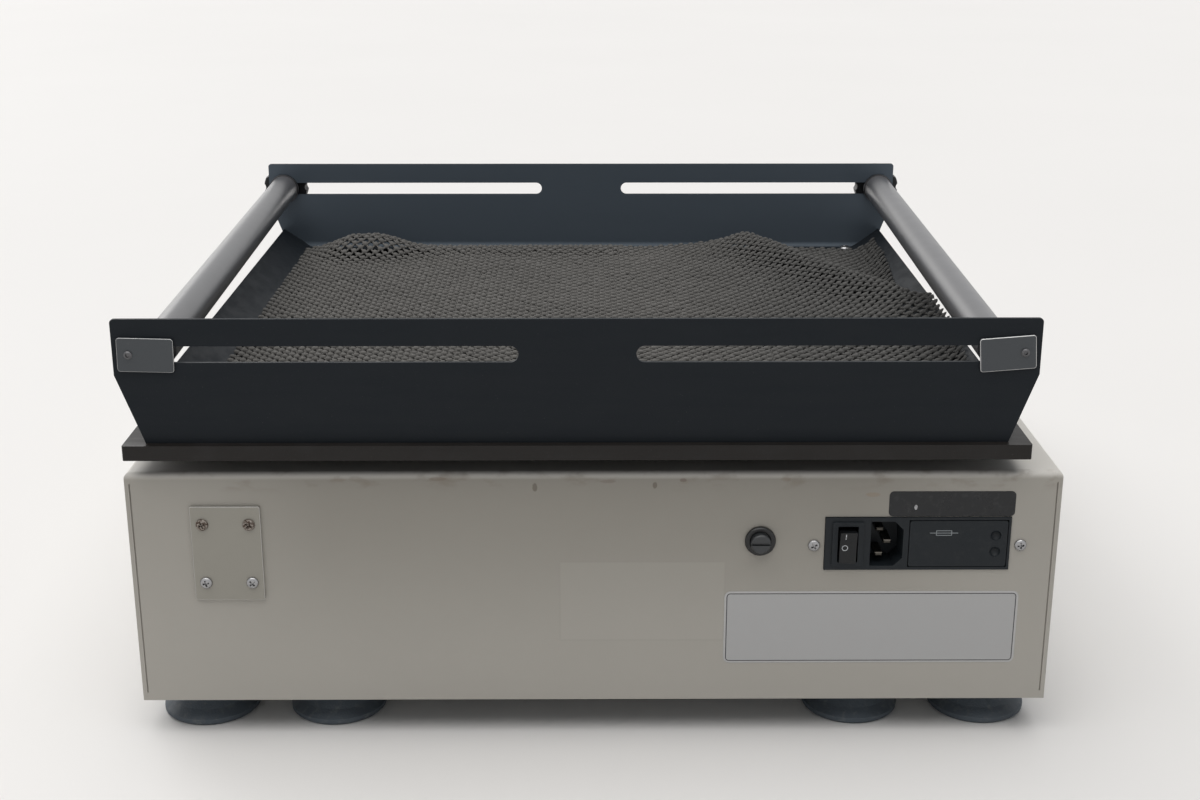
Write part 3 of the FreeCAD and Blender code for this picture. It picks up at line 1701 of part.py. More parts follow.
for name, side in (("left", -1), ("right", 1)):
    parts[f"{name}_bar_rod"] = grip_bar_rod(side)
    parts[f"{name}_bar_sleeve"] = grip_bar_sleeve(side)
    parts[f"{name}_keeper_plate"] = keeper_plate(side)
    parts[f"{name}_keeper_screw"] = keeper_screw(side)
    parts[f"{name}_clamp_knob"] = clamp_knob(side)

os.makedirs("parts", exist_ok=True)
for name, shape in parts.items():
    shape.exportStep(f"parts/{name}.step")
    print(f"{name}: {len(shape.Solids)} solids, valid {shape.isValid()}")
print(len(parts), "nodes")
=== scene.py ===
import json
import math

import bmesh
import bpy
import numpy as np
from mathutils import Matrix, Vector
from mathutils.bvhtree import BVHTree


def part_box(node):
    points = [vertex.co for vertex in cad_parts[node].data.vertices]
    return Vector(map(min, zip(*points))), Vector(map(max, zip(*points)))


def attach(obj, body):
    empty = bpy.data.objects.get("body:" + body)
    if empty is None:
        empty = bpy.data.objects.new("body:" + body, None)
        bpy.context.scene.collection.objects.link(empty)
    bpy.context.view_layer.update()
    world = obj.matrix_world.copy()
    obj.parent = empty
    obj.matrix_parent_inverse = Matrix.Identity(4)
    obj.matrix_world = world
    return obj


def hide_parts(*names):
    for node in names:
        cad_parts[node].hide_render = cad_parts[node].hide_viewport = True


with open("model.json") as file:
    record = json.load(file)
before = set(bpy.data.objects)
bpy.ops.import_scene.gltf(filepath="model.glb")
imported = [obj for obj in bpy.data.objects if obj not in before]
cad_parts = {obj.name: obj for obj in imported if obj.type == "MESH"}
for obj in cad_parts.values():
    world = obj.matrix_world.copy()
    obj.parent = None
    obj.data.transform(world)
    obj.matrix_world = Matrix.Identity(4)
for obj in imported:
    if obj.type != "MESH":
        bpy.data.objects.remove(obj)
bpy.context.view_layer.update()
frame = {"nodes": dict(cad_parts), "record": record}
nodes = frame["nodes"]

# Sizes repeated from the part's source, in metres

REAR_Y = -0.310
CASE_TOP = 0.149
TRAY_X = -0.008332
TRAY_REAR_Y = -0.314785
TRAY_FRONT_Y = 0.120615
TRAY_Y = (TRAY_REAR_Y + TRAY_FRONT_Y) / 2
FLOOR_TOP = 0.1688
MAT_LOW = FLOOR_TOP + 0.0003
MAT_WIDTH = 0.418
MAT_DEPTH = 0.414
MAT_SHIFT = 0.005
WRINKLES = [
    # start x, start y, end x, end y from the tray's centre, reach on the near side, on the far side, height
    (0.122, 0.190, 0.216, 0.0, 0.050, 0.011, 0.0060),
    (0.122, 0.190, 0.216, 0.0, 0.019, 0.009, 0.0078),
    (0.208, -0.024, 0.214, -0.090, 0.042, 0.016, 0.0055),
    (-0.163, 0.190, -0.152, 0.192, 0.023, 0.023, 0.0125),
    (-0.128, 0.192, 0.020, 0.194, 0.014, 0.014, 0.0025),
]
LIP_FOOT = 0.203
LIP_HEIGHT = 0.0144
LIP_RUN = 0.0194
LIP_BEND = 0.006
SCREW_X = 0.196
SCREW_Y = 0.2087
TRAY_SCREW_HEAD = 0.0043
TRAY_SCREW_HEIGHT = 0.0026
PANEL_SCREW_HEAD = 0.0032
PANEL_SCREW_HEIGHT = 0.0017
PLATE_FACE_Y = REAR_Y - 0.0015
TRAY_SCREWS = [(TRAY_X + i * SCREW_X, TRAY_Y + k * SCREW_Y) for i in (-1, 1) for k in (-1, 1)]
PLATE_SCREWS = [(-0.1895 + i * 0.012, 0.105 + k * 0.0162) for k in (1, -1) for i in (-1, 1)]
MODULE_SCREWS = [(0.1672 - 0.0535, 0.1085), (0.1672 + 0.0535, 0.1085)]


# Node materials

class Finish:
    """Wires one procedural material. Places are metres in the part's frame."""

    def __init__(self, name, rough=0.5, metallic=0.0, specular=0.5, coat=0.0):
        self.material = bpy.data.materials.new(name)
        self.material.use_nodes = True
        self.tree = self.material.node_tree
        self.tree.nodes.clear()
        out = self.node("OutputMaterial")
        self.shader = self.node("BsdfPrincipled")
        self.join(self.shader.outputs["BSDF"], out.inputs["Surface"])
        self.shader.inputs["Roughness"].default_value = rough
        self.shader.inputs["Metallic"].default_value = metallic
        self.shader.inputs["Specular IOR Level"].default_value = specular
        self.shader.inputs["Coat Weight"].default_value = coat
        self.place = self.node("TexCoord").outputs["Object"]

    def node(self, kind, **values):
        made = self.tree.nodes.new("ShaderNode" + kind)
        for key, value in values.items():
            setattr(made, key, value)
        return made

    def join(self, source, target):
        if isinstance(source, bpy.types.NodeSocket):
            self.tree.links.new(source, target)
        else:
            target.default_value = source

    def math(self, operation, first, second=0.0, third=0.0):
        made = self.node("Math", operation=operation)
        for socket, value in zip(made.inputs, (first, second, third)):
            self.join(value, socket)
        return made.outputs[0]

    def axes(self):
        made = self.node("SeparateXYZ")
        self.join(self.place, made.inputs[0])
        return made.outputs[0], made.outputs[1], made.outputs[2]

    def noise(self, scale, stretch=(1, 1, 1), detail=3.0, rough=0.55):
        mapping = self.node("Mapping")
        self.join(self.place, mapping.inputs["Vector"])
        mapping.inputs["Scale"].default_value = stretch
        made = self.node("TexNoise")
        self.join(mapping.outputs[0], made.inputs["Vector"])
        made.inputs["Scale"].default_value = scale
        made.inputs["Detail"].default_value = detail
        made.inputs["Roughness"].default_value = rough
        return made.outputs[0]

    def cells(self, scale, stretch=(1, 1, 1)):
        mapping = self.node("Mapping")
        self.join(self.place, mapping.inputs["Vector"])
        mapping.inputs["Scale"].default_value = stretch
        made = self.node("TexVoronoi")
        self.join(mapping.outputs[0], made.inputs["Vector"])
        made.inputs["Scale"].default_value = scale
        return made.outputs["Distance"]

    def between(self, value, low, high, out_low=0.0, out_high=1.0):
        """Eases value from out_low to out_high as it goes from low to high."""
        made = self.node("MapRange", interpolation_type="SMOOTHSTEP")
        for name, number in (
            ("Value", value),
            ("From Min", low),
            ("From Max", high),
            ("To Min", out_low),
            ("To Max", out_high),
        ):
            self.join(number, made.inputs[name])
        return made.outputs[0]

    def mix(self, share, first, second):
        made = self.node("Mix", data_type="RGBA")
        self.join(share, made.inputs["Factor"])
        for value, socket in ((first, made.inputs[6]), (second, made.inputs[7])):
            self.join(value if isinstance(value, bpy.types.NodeSocket) else (*value, 1.0), socket)
        return made.outputs[2]

    def on_rear(self, depth):
        """1 on the rear panel's face and 0 on the rest of the case."""
        return self.between(depth, REAR_Y + 0.004, REAR_Y + 0.003)

    def length(self, across, up):
        """The length of a vector with these two parts."""
        return self.math("SQRT", self.math("MULTIPLY_ADD", across, across, self.math("MULTIPLY", up, up)))

    def spot(self, x, z, half_x, half_z, ragged=0.5):
        """A soft ragged patch on the rear panel, 1 in its middle and 0 outside."""
        px, py, pz = self.axes()
        across = self.math("DIVIDE", self.math("SUBTRACT", px, x), half_x)
        up = self.math("DIVIDE", self.math("SUBTRACT", pz, z), half_z)
        worn = self.math("MULTIPLY_ADD", self.noise(900.0), ragged, self.length(across, up))
        inside = self.between(worn, 0.7 + ragged * 0.5, 1.05 + ragged * 0.5, 1.0, 0.0)
        return self.math("MULTIPLY", inside, self.on_rear(py))

    def bump(self, value, depth):
        made = self.node("Bump")
        made.inputs["Strength"].default_value = 1.0
        made.inputs["Distance"].default_value = depth
        self.join(value, made.inputs["Height"])
        self.join(made.outputs["Normal"], self.shader.inputs["Normal"])

    def colour(self, value):
        self.join(value, self.shader.inputs["Base Color"])

    def roughness(self, value):
        self.join(value, self.shader.inputs["Roughness"])


def tones(colour, share):
    """A darker and a lighter tone of a colour."""
    return tuple(c * (1 - share) for c in colour), tuple(c * (1 + share) for c in colour)


def painted(name, colour, rough=0.5, specular=0.5, share=0.05, peel=0.00004, grain=1400.0, dust=0.0):
    """Sprayed paint: faint cloudiness, fine orange peel, uneven gloss and a little dust."""
    made = Finish(name, rough, specular=specular)
    low, high = tones(colour, share)
    body = made.mix(made.noise(9.0), low, high)
    body = made.mix(made.math("MULTIPLY", made.noise(160.0), 0.3), body, tones(colour, share * 2)[0])
    if dust:
        specks = made.between(made.noise(420.0, detail=5.0), 0.60, 0.78)
        body = made.mix(made.math("MULTIPLY", specks, dust), body, (0.30, 0.29, 0.27))
    made.colour(body)
    made.roughness(made.between(made.noise(35.0), 0.3, 0.7, rough - 0.05, rough + 0.07))
    made.bump(made.noise(grain), peel)
    return made.material


def plated(name, colour, rough=0.3, stretch=(1, 1, 1), share=0.08, spots=0.15, grain=600.0, depth=0.00002):
    """Bare or plated metal with drawn or turned marks and dull spots."""
    made = Finish(name, rough, metallic=1.0)
    low, high = tones(colour, share)
    lines = made.noise(grain, stretch, detail=4.0)
    body = made.mix(lines, low, high)
    dull = made.between(made.noise(190.0), 0.55, 0.75)
    made.colour(made.mix(made.math("MULTIPLY", dull, spots), body, tuple(c * 0.45 for c in colour)))
    made.roughness(made.between(made.noise(260.0, stretch), 0.25, 0.75, rough - 0.08, rough + 0.14))
    made.bump(lines, depth)
    return made.material


def moulded(name, colour, rough=0.45, specular=0.5, share=0.06, depth=0.00003, grain=1800.0, dust=0.0,
            uneven=0.06):
    """Moulded plastic or rubber with a fine spark-eroded texture."""
    made = Finish(name, rough, specular=specular)
    low, high = tones(colour, share)
    body = made.mix(made.noise(60.0), low, high)
    if dust:
        dust_and_painted_shade = made.between(made.noise(240.0, detail=5.0), 0.50, 0.75)
        body = made.mix(made.math("MULTIPLY", dust_and_painted_shade, dust), body, (0.26, 0.26, 0.25))
    made.colour(body)
    made.roughness(made.between(made.noise(90.0), 0.3, 0.7, rough - uneven, rough + uneven))
    made.bump(made.cells(grain), depth)
    return made.material


def cast(name, colour, rough=0.6):
    """Painted cast iron with a rough skin."""
    made = Finish(name, rough, metallic=0.3)
    low, high = tones(colour, 0.18)
    made.colour(made.mix(made.noise(120.0, detail=5.0), low, high))
    made.roughness(made.between(made.noise(70.0), 0.3, 0.7, rough - 0.1, rough + 0.1))
    made.bump(made.noise(900.0, detail=6.0), 0.00012)
    return made.material


def case_finish():
    """Aged beige powder paint with brown marks near the top bend and a paler patch, with painted shade toward
    the platform and a painted highlight over the bend and top.
    """
    colour = (0.44, 0.42, 0.38)
    made = Finish("case_paint", 0.5, specular=0.4)
    low, high = tones(colour, 0.045)
    body = made.mix(made.noise(7.0), low, high)
    body = made.mix(made.math("MULTIPLY", made.noise(85.0, detail=5.0), 0.25), body, tones(colour, 0.10)[0])
    px, py, pz = made.axes()
    rear = made.on_rear(py)
    # Painted shade that darkens the panel toward the platform, less so near the corners
    beside = made.between(made.math("ABSOLUTE", px), 0.13, 0.22, 1.0, 0.35)
    dust_and_painted_shade = made.math("MULTIPLY", made.math("MULTIPLY", made.between(pz, 0.03, 0.14), beside), rear)
    body = made.mix(made.math("MULTIPLY", dust_and_painted_shade, 0.55), body, (0.20, 0.185, 0.155))
    # Painted highlight: a lighter colour over the bend and on top, where the overhead light falls
    body = made.mix(made.between(pz, CASE_TOP - 0.0042, CASE_TOP - 0.0012), body, (0.64, 0.62, 0.58))
    # Grime that gathers under the top bend
    band = made.math("MULTIPLY", made.between(pz, CASE_TOP - 0.012, CASE_TOP - 0.004), rear)
    patches = made.between(made.noise(70.0, (1, 1, 2.0), detail=5.0), 0.50, 0.72)
    grime = made.math("MULTIPLY", made.math("MULTIPLY", band, patches), 0.45)
    body = made.mix(grime, body, (0.20, 0.165, 0.125))
    # Runs and spots: middle in x and z, half width, half height, strength and tint
    marks = [
        (-0.0304, 0.1408, 0.0014, 0.0026, 0.62, (0.12, 0.095, 0.07)),
        (0.0310, 0.1418, 0.0013, 0.0020, 0.62, (0.13, 0.10, 0.075)),
        (0.0455, 0.1446, 0.0020, 0.0011, 0.55, (0.14, 0.09, 0.07)),
        (-0.0800, 0.1455, 0.0050, 0.0012, 0.40, (0.19, 0.14, 0.10)),
        (0.0070, 0.1440, 0.0045, 0.0010, 0.30, (0.17, 0.12, 0.10)),
        (0.1430, 0.1365, 0.0042, 0.0014, 0.30, (0.30, 0.20, 0.12)),
        (0.0980, 0.1450, 0.0030, 0.0012, 0.30, (0.24, 0.18, 0.13)),
        (-0.1300, 0.1450, 0.0040, 0.0009, 0.25, (0.22, 0.17, 0.12)),
    ]
    for x, z, half_x, half_z, share, tint in marks:
        body = made.mix(made.math("MULTIPLY", made.spot(x, z, half_x, half_z), share), body, tint)
    # A patch that a removed label kept cleaner
    patch_x, patch_z, patch_half_x, patch_half_z = 0.025, 0.077, 0.043, 0.0223
    across = made.math("SUBTRACT", made.math("ABSOLUTE", made.math("SUBTRACT", px, patch_x)), patch_half_x)
    up = made.math("SUBTRACT", made.math("ABSOLUTE", made.math("SUBTRACT", pz, patch_z)), patch_half_z)
    edge = made.math("MAXIMUM", across, up)
    patch = made.math("MULTIPLY", made.between(edge, 0.0006, -0.0006), rear)
    rim = made.math("MULTIPLY", made.between(made.math("ABSOLUTE", edge), 0.0009, 0.0), rear)
    body = made.mix(made.math("MULTIPLY", patch, 0.16), body, (0.50, 0.48, 0.44))
    body = made.mix(made.math("MULTIPLY", rim, 0.14), body, (0.27, 0.25, 0.22))
    made.colour(body)
    rough = made.between(made.noise(24.0), 0.3, 0.7, 0.44, 0.56)
    made.roughness(made.math("MULTIPLY_ADD", patch, -0.06, rough))
    made.bump(made.noise(1100.0), 0.00005)
    return made.material


def tray_finish(name, colour, rough, specular, dust, inside=0.0):
    """Dark powder paint with dust caught in it and faint rub marks.

    inside is how much painted glare, a lighter bluish colour, lies on the inner face of the panel at the
    console's end; a faint even share of it lies over the rest.
    """
    made = Finish(name, rough, specular=specular)
    low, high = tones(colour, 0.10)
    body = made.mix(made.noise(14.0), low, high)
    dust_and_painted_shade = made.between(made.noise(45.0, detail=6.0), 0.42, 0.80)
    body = made.mix(made.math("MULTIPLY", dust_and_painted_shade, dust), body, (0.11, 0.115, 0.125))
    # Painted glare: the far panel's inner face made lighter and bluer, with a faint share over the whole tray
    facing = made.node("SeparateXYZ")
    made.join(made.node("TexCoord").outputs["Normal"], facing.inputs[0])
    painted_glare_facing = made.between(facing.outputs[1], -0.2, -0.6)
    panel = made.between(made.axes()[1], TRAY_FRONT_Y - 0.006, TRAY_FRONT_Y - 0.003)
    share = made.math("MULTIPLY_ADD", made.math("MULTIPLY", panel, painted_glare_facing), inside, inside * 0.12)
    body = made.mix(share, body, (0.105, 0.130, 0.158))
    specks = made.between(made.noise(1500.0, detail=2.0), 0.70, 0.80)
    body = made.mix(made.math("MULTIPLY", specks, 0.25), body, (0.20, 0.20, 0.20))
    made.colour(body)
    rub = made.noise(60.0, (0.25, 1, 3.0), detail=5.0)
    made.roughness(made.between(rub, 0.35, 0.70, rough - 0.07, rough + 0.09))
    made.bump(made.noise(1600.0), 0.00006)
    return made.material


def foam_finish():
    """Grey foam with fine pores and uneven, dusty tops, with painted shade darkening its right side."""
    made = Finish("mat_foam", 0.85, specular=0.2)
    colour = (0.165, 0.160, 0.152)
    low, high = tones(colour, 0.22)
    body = made.mix(made.noise(22.0, detail=4.0), low, high)
    body = made.mix(made.math("MULTIPLY", made.noise(700.0), 0.55), body, (0.090, 0.088, 0.085))
    dust_and_painted_shade = made.between(made.noise(260.0, detail=5.0), 0.52, 0.72)
    body = made.mix(made.math("MULTIPLY", dust_and_painted_shade, 0.30), body, (0.26, 0.255, 0.25))
    # Painted shade: darkens the right side of the mat
    painted_shade_right = made.between(made.axes()[0], 0.03, 0.17, 0.0, 0.42)
    made.colour(made.mix(painted_shade_right, body, (0.040, 0.043, 0.045)))
    made.roughness(made.between(made.noise(180.0), 0.3, 0.7, 0.78, 0.92))
    made.bump(made.noise(2400.0, detail=5.0), 0.00016)
    return made.material


def board_finish():
    """Green solder mask over faint copper tracks."""
    made = Finish("board_green", 0.35, specular=0.5)
    lines = made.cells(260.0, (1, 0.3, 1))
    tracks = made.between(lines, 0.10, 0.16, 1.0, 0.0)
    body = made.mix(made.noise(50.0), (0.02, 0.14, 0.07), (0.03, 0.19, 0.10))
    made.colour(made.mix(made.math("MULTIPLY", tracks, 0.5), body, (0.07, 0.30, 0.15)))
    made.roughness(made.between(made.noise(400.0), 0.3, 0.7, 0.28, 0.42))
    made.bump(tracks, 0.00004)
    return made.material


def core_finish():
    """Varnished laminations, edge on."""
    made = Finish("core_steel", 0.45, metallic=0.6)
    sheets = made.noise(1000.0, (0.05, 0.05, 1.6), detail=2.0)
    made.colour(made.mix(sheets, (0.12, 0.11, 0.10), (0.34, 0.31, 0.27)))
    made.roughness(made.between(sheets, 0.3, 0.7, 0.35, 0.55))
    made.bump(sheets, 0.00008)
    return made.material


def glass_finish():
    """Clear glass of a cartridge fuse."""
    made = Finish("fuse_glass", 0.05)
    made.shader.inputs["Transmission Weight"].default_value = 0.85
    made.colour(made.mix(made.noise(120.0), (0.84, 0.88, 0.87), (0.93, 0.96, 0.95)))
    made.roughness(made.between(made.noise(300.0), 0.3, 0.7, 0.03, 0.10))
    made.bump(made.noise(500.0), 0.00001)
    return made.material


def rusted_finish():
    """A plated screw gone brown."""
    made = Finish("rusted_screw", 0.6, metallic=0.5)
    crust = made.between(made.noise(900.0, detail=6.0), 0.36, 0.62)
    made.colour(made.mix(crust, (0.30, 0.27, 0.24), (0.085, 0.055, 0.04)))
    made.roughness(made.between(crust, 0.0, 1.0, 0.42, 0.85))
    made.bump(made.noise(1800.0, detail=6.0), 0.0001)
    return made.material


def black_label_finish():
    """Black foil, dusty, with one chip down to the silver."""
    made = Finish("black_label", 0.32, specular=0.4)
    body = made.mix(made.noise(50.0), (0.0065, 0.0075, 0.009), (0.0125, 0.0135, 0.0155))
    dust_and_painted_shade = made.between(made.noise(330.0, detail=5.0), 0.5, 0.75)
    body = made.mix(made.math("MULTIPLY", dust_and_painted_shade, 0.12), body, (0.13, 0.13, 0.13))
    chip = made.spot(0.1654, 0.1296, 0.0009, 0.0014, 0.95)
    made.colour(made.mix(chip, body, (0.42, 0.42, 0.43)))
    made.roughness(made.between(made.noise(130.0), 0.3, 0.7, 0.26, 0.42))
    made.bump(made.noise(700.0), 0.00003)
    return made.material


def fuse_cap_finish():
    """Grey cap face inside a black moulded ring."""
    made = Finish("fuse_cap_grey", 0.36, specular=0.5)
    px, py, pz = made.axes()
    middle = [(low + high) / 2 for low, high in zip(*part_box("fuse_holder_cap"))]
    radius = made.length(made.math("SUBTRACT", px, middle[0]), made.math("SUBTRACT", pz, middle[2]))
    face = made.mix(made.noise(60.0), *tones((0.034, 0.037, 0.040), 0.1))
    made.colour(made.mix(made.between(radius, 0.0056, 0.0060), face, (0.010, 0.011, 0.0125)))
    made.roughness(made.between(made.noise(90.0), 0.3, 0.7, 0.30, 0.42))
    made.bump(made.cells(1800.0), 0.00002)
    return made.material


LOOKS = {
    "case_paint": case_finish(),
    "pan_steel": plated("pan_steel", (0.46, 0.46, 0.45), 0.38, (1, 0.1, 1)),
    "screw_steel": plated("screw_steel", (0.34, 0.34, 0.345), 0.30, depth=0.00001),
    "foot_rubber": moulded("foot_rubber", (0.075, 0.092, 0.110), 0.62, 0.45, 0.12, 0.00010, 900.0, dust=0.26),
    "housing_iron": cast("housing_iron", (0.16, 0.17, 0.18)),
    "bearing_steel": plated("bearing_steel", (0.6, 0.6, 0.6), 0.2),
    "shaft_steel": plated("shaft_steel", (0.56, 0.56, 0.56), 0.28, (0.1, 0.1, 1.5)),
    "weight_iron": cast("weight_iron", (0.22, 0.22, 0.23), 0.5),
    "pulley_aluminium": plated("pulley_aluminium", (0.68, 0.68, 0.70), 0.3, (0.2, 0.2, 1.5)),
    "belt_rubber": moulded("belt_rubber", (0.020, 0.020, 0.021), 0.6, 0.4, 0.15, 0.00006),
    "motor_paint": painted("motor_paint", (0.035, 0.035, 0.040), 0.4),
    "bracket_steel": painted("bracket_steel", (0.32, 0.33, 0.34), 0.45),
    "board_green": board_finish(),
    "spacer_plastic": moulded("spacer_plastic", (0.70, 0.69, 0.65), 0.5),
    "core_steel": core_finish(),
    "plate_paint": painted("plate_paint", (0.33, 0.315, 0.275), 0.46, 0.4, 0.05, 0.00004),
    "module_plastic": moulded("module_plastic", (0.0092, 0.0125, 0.0158), 0.48, 0.28, 0.08, dust=0.02),
    "rocker_plastic": moulded("rocker_plastic", (0.0070, 0.0078, 0.0090), 0.34, 0.34, 0.1, 0.00001),
    # Painted shade: the nickel pins are coloured dark, as they look in their shaded recess
    "blade_nickel": plated("blade_nickel", (0.070, 0.065, 0.057), 0.36),
    "fuse_plastic": moulded("fuse_plastic", (0.0085, 0.0088, 0.0095), 0.27, 0.45, 0.1, 0.00001),
    "fuse_glass": glass_finish(),
    "fascia_plastic": moulded("fascia_plastic", (0.085, 0.095, 0.115), 0.5, 0.4, 0.06, 0.00005, 1500.0),
    "window_tint": moulded("window_tint", (0.09, 0.006, 0.006), 0.12, 0.6, 0.05, 0.000004),
    "key_plastic": moulded("key_plastic", (0.48, 0.48, 0.47), 0.42, 0.5, 0.03),
    "platform_paint": tray_finish("platform_paint", (0.0125, 0.0108, 0.0098), 0.46, 0.25, 0.05),
    "tray_paint": tray_finish("tray_paint", (0.0036, 0.0043, 0.0055), 0.50, 0.12, 0.01, 0.85),
    "mat_foam": foam_finish(),
    "rod_steel": plated("rod_steel", (0.11, 0.11, 0.115), 0.36, (1, 0.1, 1)),
    "sleeve_rubber": moulded("sleeve_rubber", (0.075, 0.075, 0.080), 0.33, 1.0, 0.03, 0.000001, 2400.0,
                             uneven=0.012),
    "keeper_steel": painted("keeper_steel", (0.052, 0.059, 0.066), 0.40, 0.45, 0.10, 0.00003, dust=0.08),
    "knob_plastic": moulded("knob_plastic", (0.011, 0.012, 0.014), 0.50, 0.3, 0.1, 0.00002),
}

# Looks of places that are smaller than a slot
WORN_EDGE = plated("worn_edge", (0.52, 0.52, 0.52), 0.34, depth=0.00001)
RUSTED = rusted_finish()
BLACK_LABEL = black_label_finish()
SILVER_LABEL = painted("silver_label", (0.445, 0.445, 0.445), 0.45, 0.5, 0.015, 0.00001)
LABEL_RIM = plated("label_rim", (0.42, 0.42, 0.42), 0.42, share=0.03, spots=0.02)
LABEL_LINE = moulded("label_line", (0.06, 0.06, 0.065), 0.5, 0.4, 0.1)
MARK_WHITE = moulded("mark_white", (0.62, 0.64, 0.66), 0.5, 0.4, 0.05)
MARK_GREY = moulded("mark_grey", (0.26, 0.285, 0.30), 0.5, 0.4, 0.08)
BLACK_BOLT = plated("black_bolt", (0.12, 0.12, 0.125), 0.38, depth=0.00001)
FUSE_CAP = fuse_cap_finish()

# The record's slots and the nodes that take each
SLOTS = {
    "case_paint": ["case_cover"],
    "pan_steel": ["base_plate"],
    "screw_steel": ["case_screws", "foot_screws", "drive_bolts", "port_cover_screws", "power_entry_screws",
                    "platform_screws", "tray_screws", "left_keeper_screw", "right_keeper_screw"],
    "foot_rubber": ["feet"],
    "housing_iron": ["drive_housing"],
    "bearing_steel": ["main_bearings", "idler_bearings", "platform_bearings"],
    "shaft_steel": ["main_crankshaft", "left_idler_crank", "right_idler_crank", "motor_rotor"],
    "weight_iron": ["main_counterweight", "left_counterweight", "right_counterweight"],
    "pulley_aluminium": ["drive_pulley", "motor_pulley", "platform_hubs"],
    "belt_rubber": ["drive_belt"],
    "motor_paint": ["motor_body"],
    "bracket_steel": ["motor_bracket"],
    "board_green": ["control_board", "display_module"],
    "spacer_plastic": ["board_standoffs"],
    "core_steel": ["transformer"],
    "plate_paint": ["port_cover_plate"],
    "module_plastic": ["power_entry_body", "main_fuse_drawer"],
    "rocker_plastic": ["power_rocker"],
    "blade_nickel": ["inlet_pins"],
    "fuse_plastic": ["fuse_holder_body", "fuse_holder_cap"],
    "fuse_glass": ["main_fuse", "control_fuse"],
    "fascia_plastic": ["control_fascia"],
    "window_tint": ["display_window"],
    "key_plastic": ["key_1", "key_2", "key_3", "key_4"],
    "platform_paint": ["platform_plate"],
    "tray_paint": ["tray"],
    "mat_foam": ["mat"],
    "rod_steel": ["left_bar_rod", "right_bar_rod"],
    "sleeve_rubber": ["left_bar_sleeve", "right_bar_sleeve"],
    "keeper_steel": ["left_keeper_plate", "right_keeper_plate"],
    "knob_plastic": ["left_clamp_knob", "right_clamp_knob"],
}
SLOT_OF = {node: slot for slot, members in SLOTS.items() for node in members}
BODY_OF = {node: body for body, members in frame["record"]["behaviour"]["bodies"].items() for node in members}
for node, slot in SLOT_OF.items():
    if not nodes[node].data.materials:
        nodes[node].data.materials.append(LOOKS[slot])
    for holder in nodes[node].material_slots:
        holder.material = LOOKS[slot]


# Making pieces

def piece(name, mesh, body, slot, *stands_for, looks=None):
    """Puts a finished mesh in the scene on a body."""
    made = bpy.data.objects.new(name, mesh)
    bpy.context.scene.collection.objects.link(made)
    kinds = np.zeros(len(mesh.polygons), np.int32)
    mesh.polygons.foreach_get("material_index", kinds)
    mesh.materials.clear()
    for material in looks or [LOOKS[slot]]:
        mesh.materials.append(material)
    mesh.polygons.foreach_set("material_index", np.minimum(kinds, len(mesh.materials) - 1))
    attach(made, body)
    if stands_for:
        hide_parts(*stands_for)
    return made


def mesh_of(name, points, faces, smooth=True, indices=None):
    """A mesh from points and faces; indices are the faces' material indices."""
    mesh = bpy.data.meshes.new(name)
    mesh.from_pydata([tuple(p) for p in points], [], [tuple(f) for f in faces])
    if indices is not None:
        mesh.polygons.foreach_set("material_index", indices)
    if smooth:
        mesh.shade_smooth()
    mesh.update()
    return mesh


def lip_feet(work):
    """The two long inner edges where the tray's floor turns up into its side lips."""
    found = []
    for e in work.edges:
        ends = [v.co for v in e.verts]
        low = all(abs(c.z - FLOOR_TOP) < 0.0005 for c in ends)
        beside = all(abs(abs(c.x - TRAY_X) - LIP_FOOT) < 0.0015 for c in ends)
        if low and beside and e.calc_length() > 0.3:
            found.append(e)
    return found


def dressed(node, width, angle=32, segments=2, edge=None, looks=None):
    """The node's own shape with its sharp edges broken, as a formed or moulded piece has them."""
    work = bmesh.new()
    work.from_mesh(nodes[node].data)
    bmesh.ops.remove_doubles(work, verts=work.verts, dist=1e-6)
    bmesh.ops.dissolve_limit(work, angle_limit=math.radians(0.6), verts=work.verts, edges=work.edges)
    if node == "tray":
        bmesh.ops.bevel(work, geom=lip_feet(work), offset=LIP_BEND, segments=8, profile=0.5, affect="EDGES",
                        clamp_overlap=False)
    sharp = [e for e in work.edges if len(e.link_faces) == 2 and e.calc_face_angle(0.0) > math.radians(angle)]
    for face in work.faces:
        face.material_index = 0
    bmesh.ops.bevel(work, geom=sharp, offset=width, segments=segments, profile=0.5, affect="EDGES",
                    clamp_overlap=True, material=1 if edge else -1)
    mesh = bpy.data.meshes.new(node + "_formed")
    work.to_mesh(mesh)
    work.free()
    mesh.shade_smooth()
    slot = SLOT_OF[node]
    materials = looks or [LOOKS[slot]]
    if edge:
        materials = materials[:1] + [edge]
    made = piece(node + "_formed", mesh, BODY_OF[node], slot, node, looks=materials)
    made.modifiers.new("even_normals", "WEIGHTED_NORMAL").keep_sharp = True


def lathe(profile, steps):
    """Rings of points round Z for a profile of (radius, height), closed at both ends."""
    points, faces = [], []
    for radius, height in profile:
        for i in range(steps):
            turn = 2 * math.pi * i / steps
            points.append((radius * math.cos(turn), radius * math.sin(turn), height))
    for ring in range(len(profile) - 1):
        for i in range(steps):
            j = (i + 1) % steps
            a, b = ring * steps, (ring + 1) * steps
            faces.append((a + i, a + j, b + j, b + i))
    faces.append(tuple(range(steps))[::-1])
    last = (len(profile) - 1) * steps
    faces.append(tuple(range(last, last + steps)))
    return points, faces


HEAD_TOP = 0.63


def cut_with(mesh, cutter):
    """Takes one mesh out of another and returns the rest as a new mesh."""
    base = bpy.data.objects.new("cut_base", mesh)
    tool = bpy.data.objects.new("cut_tool", cutter)
    for made in (base, tool):
        bpy.context.scene.collection.objects.link(made)
    step = base.modifiers.new("cut", "BOOLEAN")
    step.operation = "DIFFERENCE"
    step.solver = "EXACT"
    step.object = tool
    bpy.context.view_layer.update()
    result = bpy.data.meshes.new_from_object(base.evaluated_get(bpy.context.evaluated_depsgraph_get()))
    for made in (base, tool):
        bpy.data.objects.remove(made)
    return result


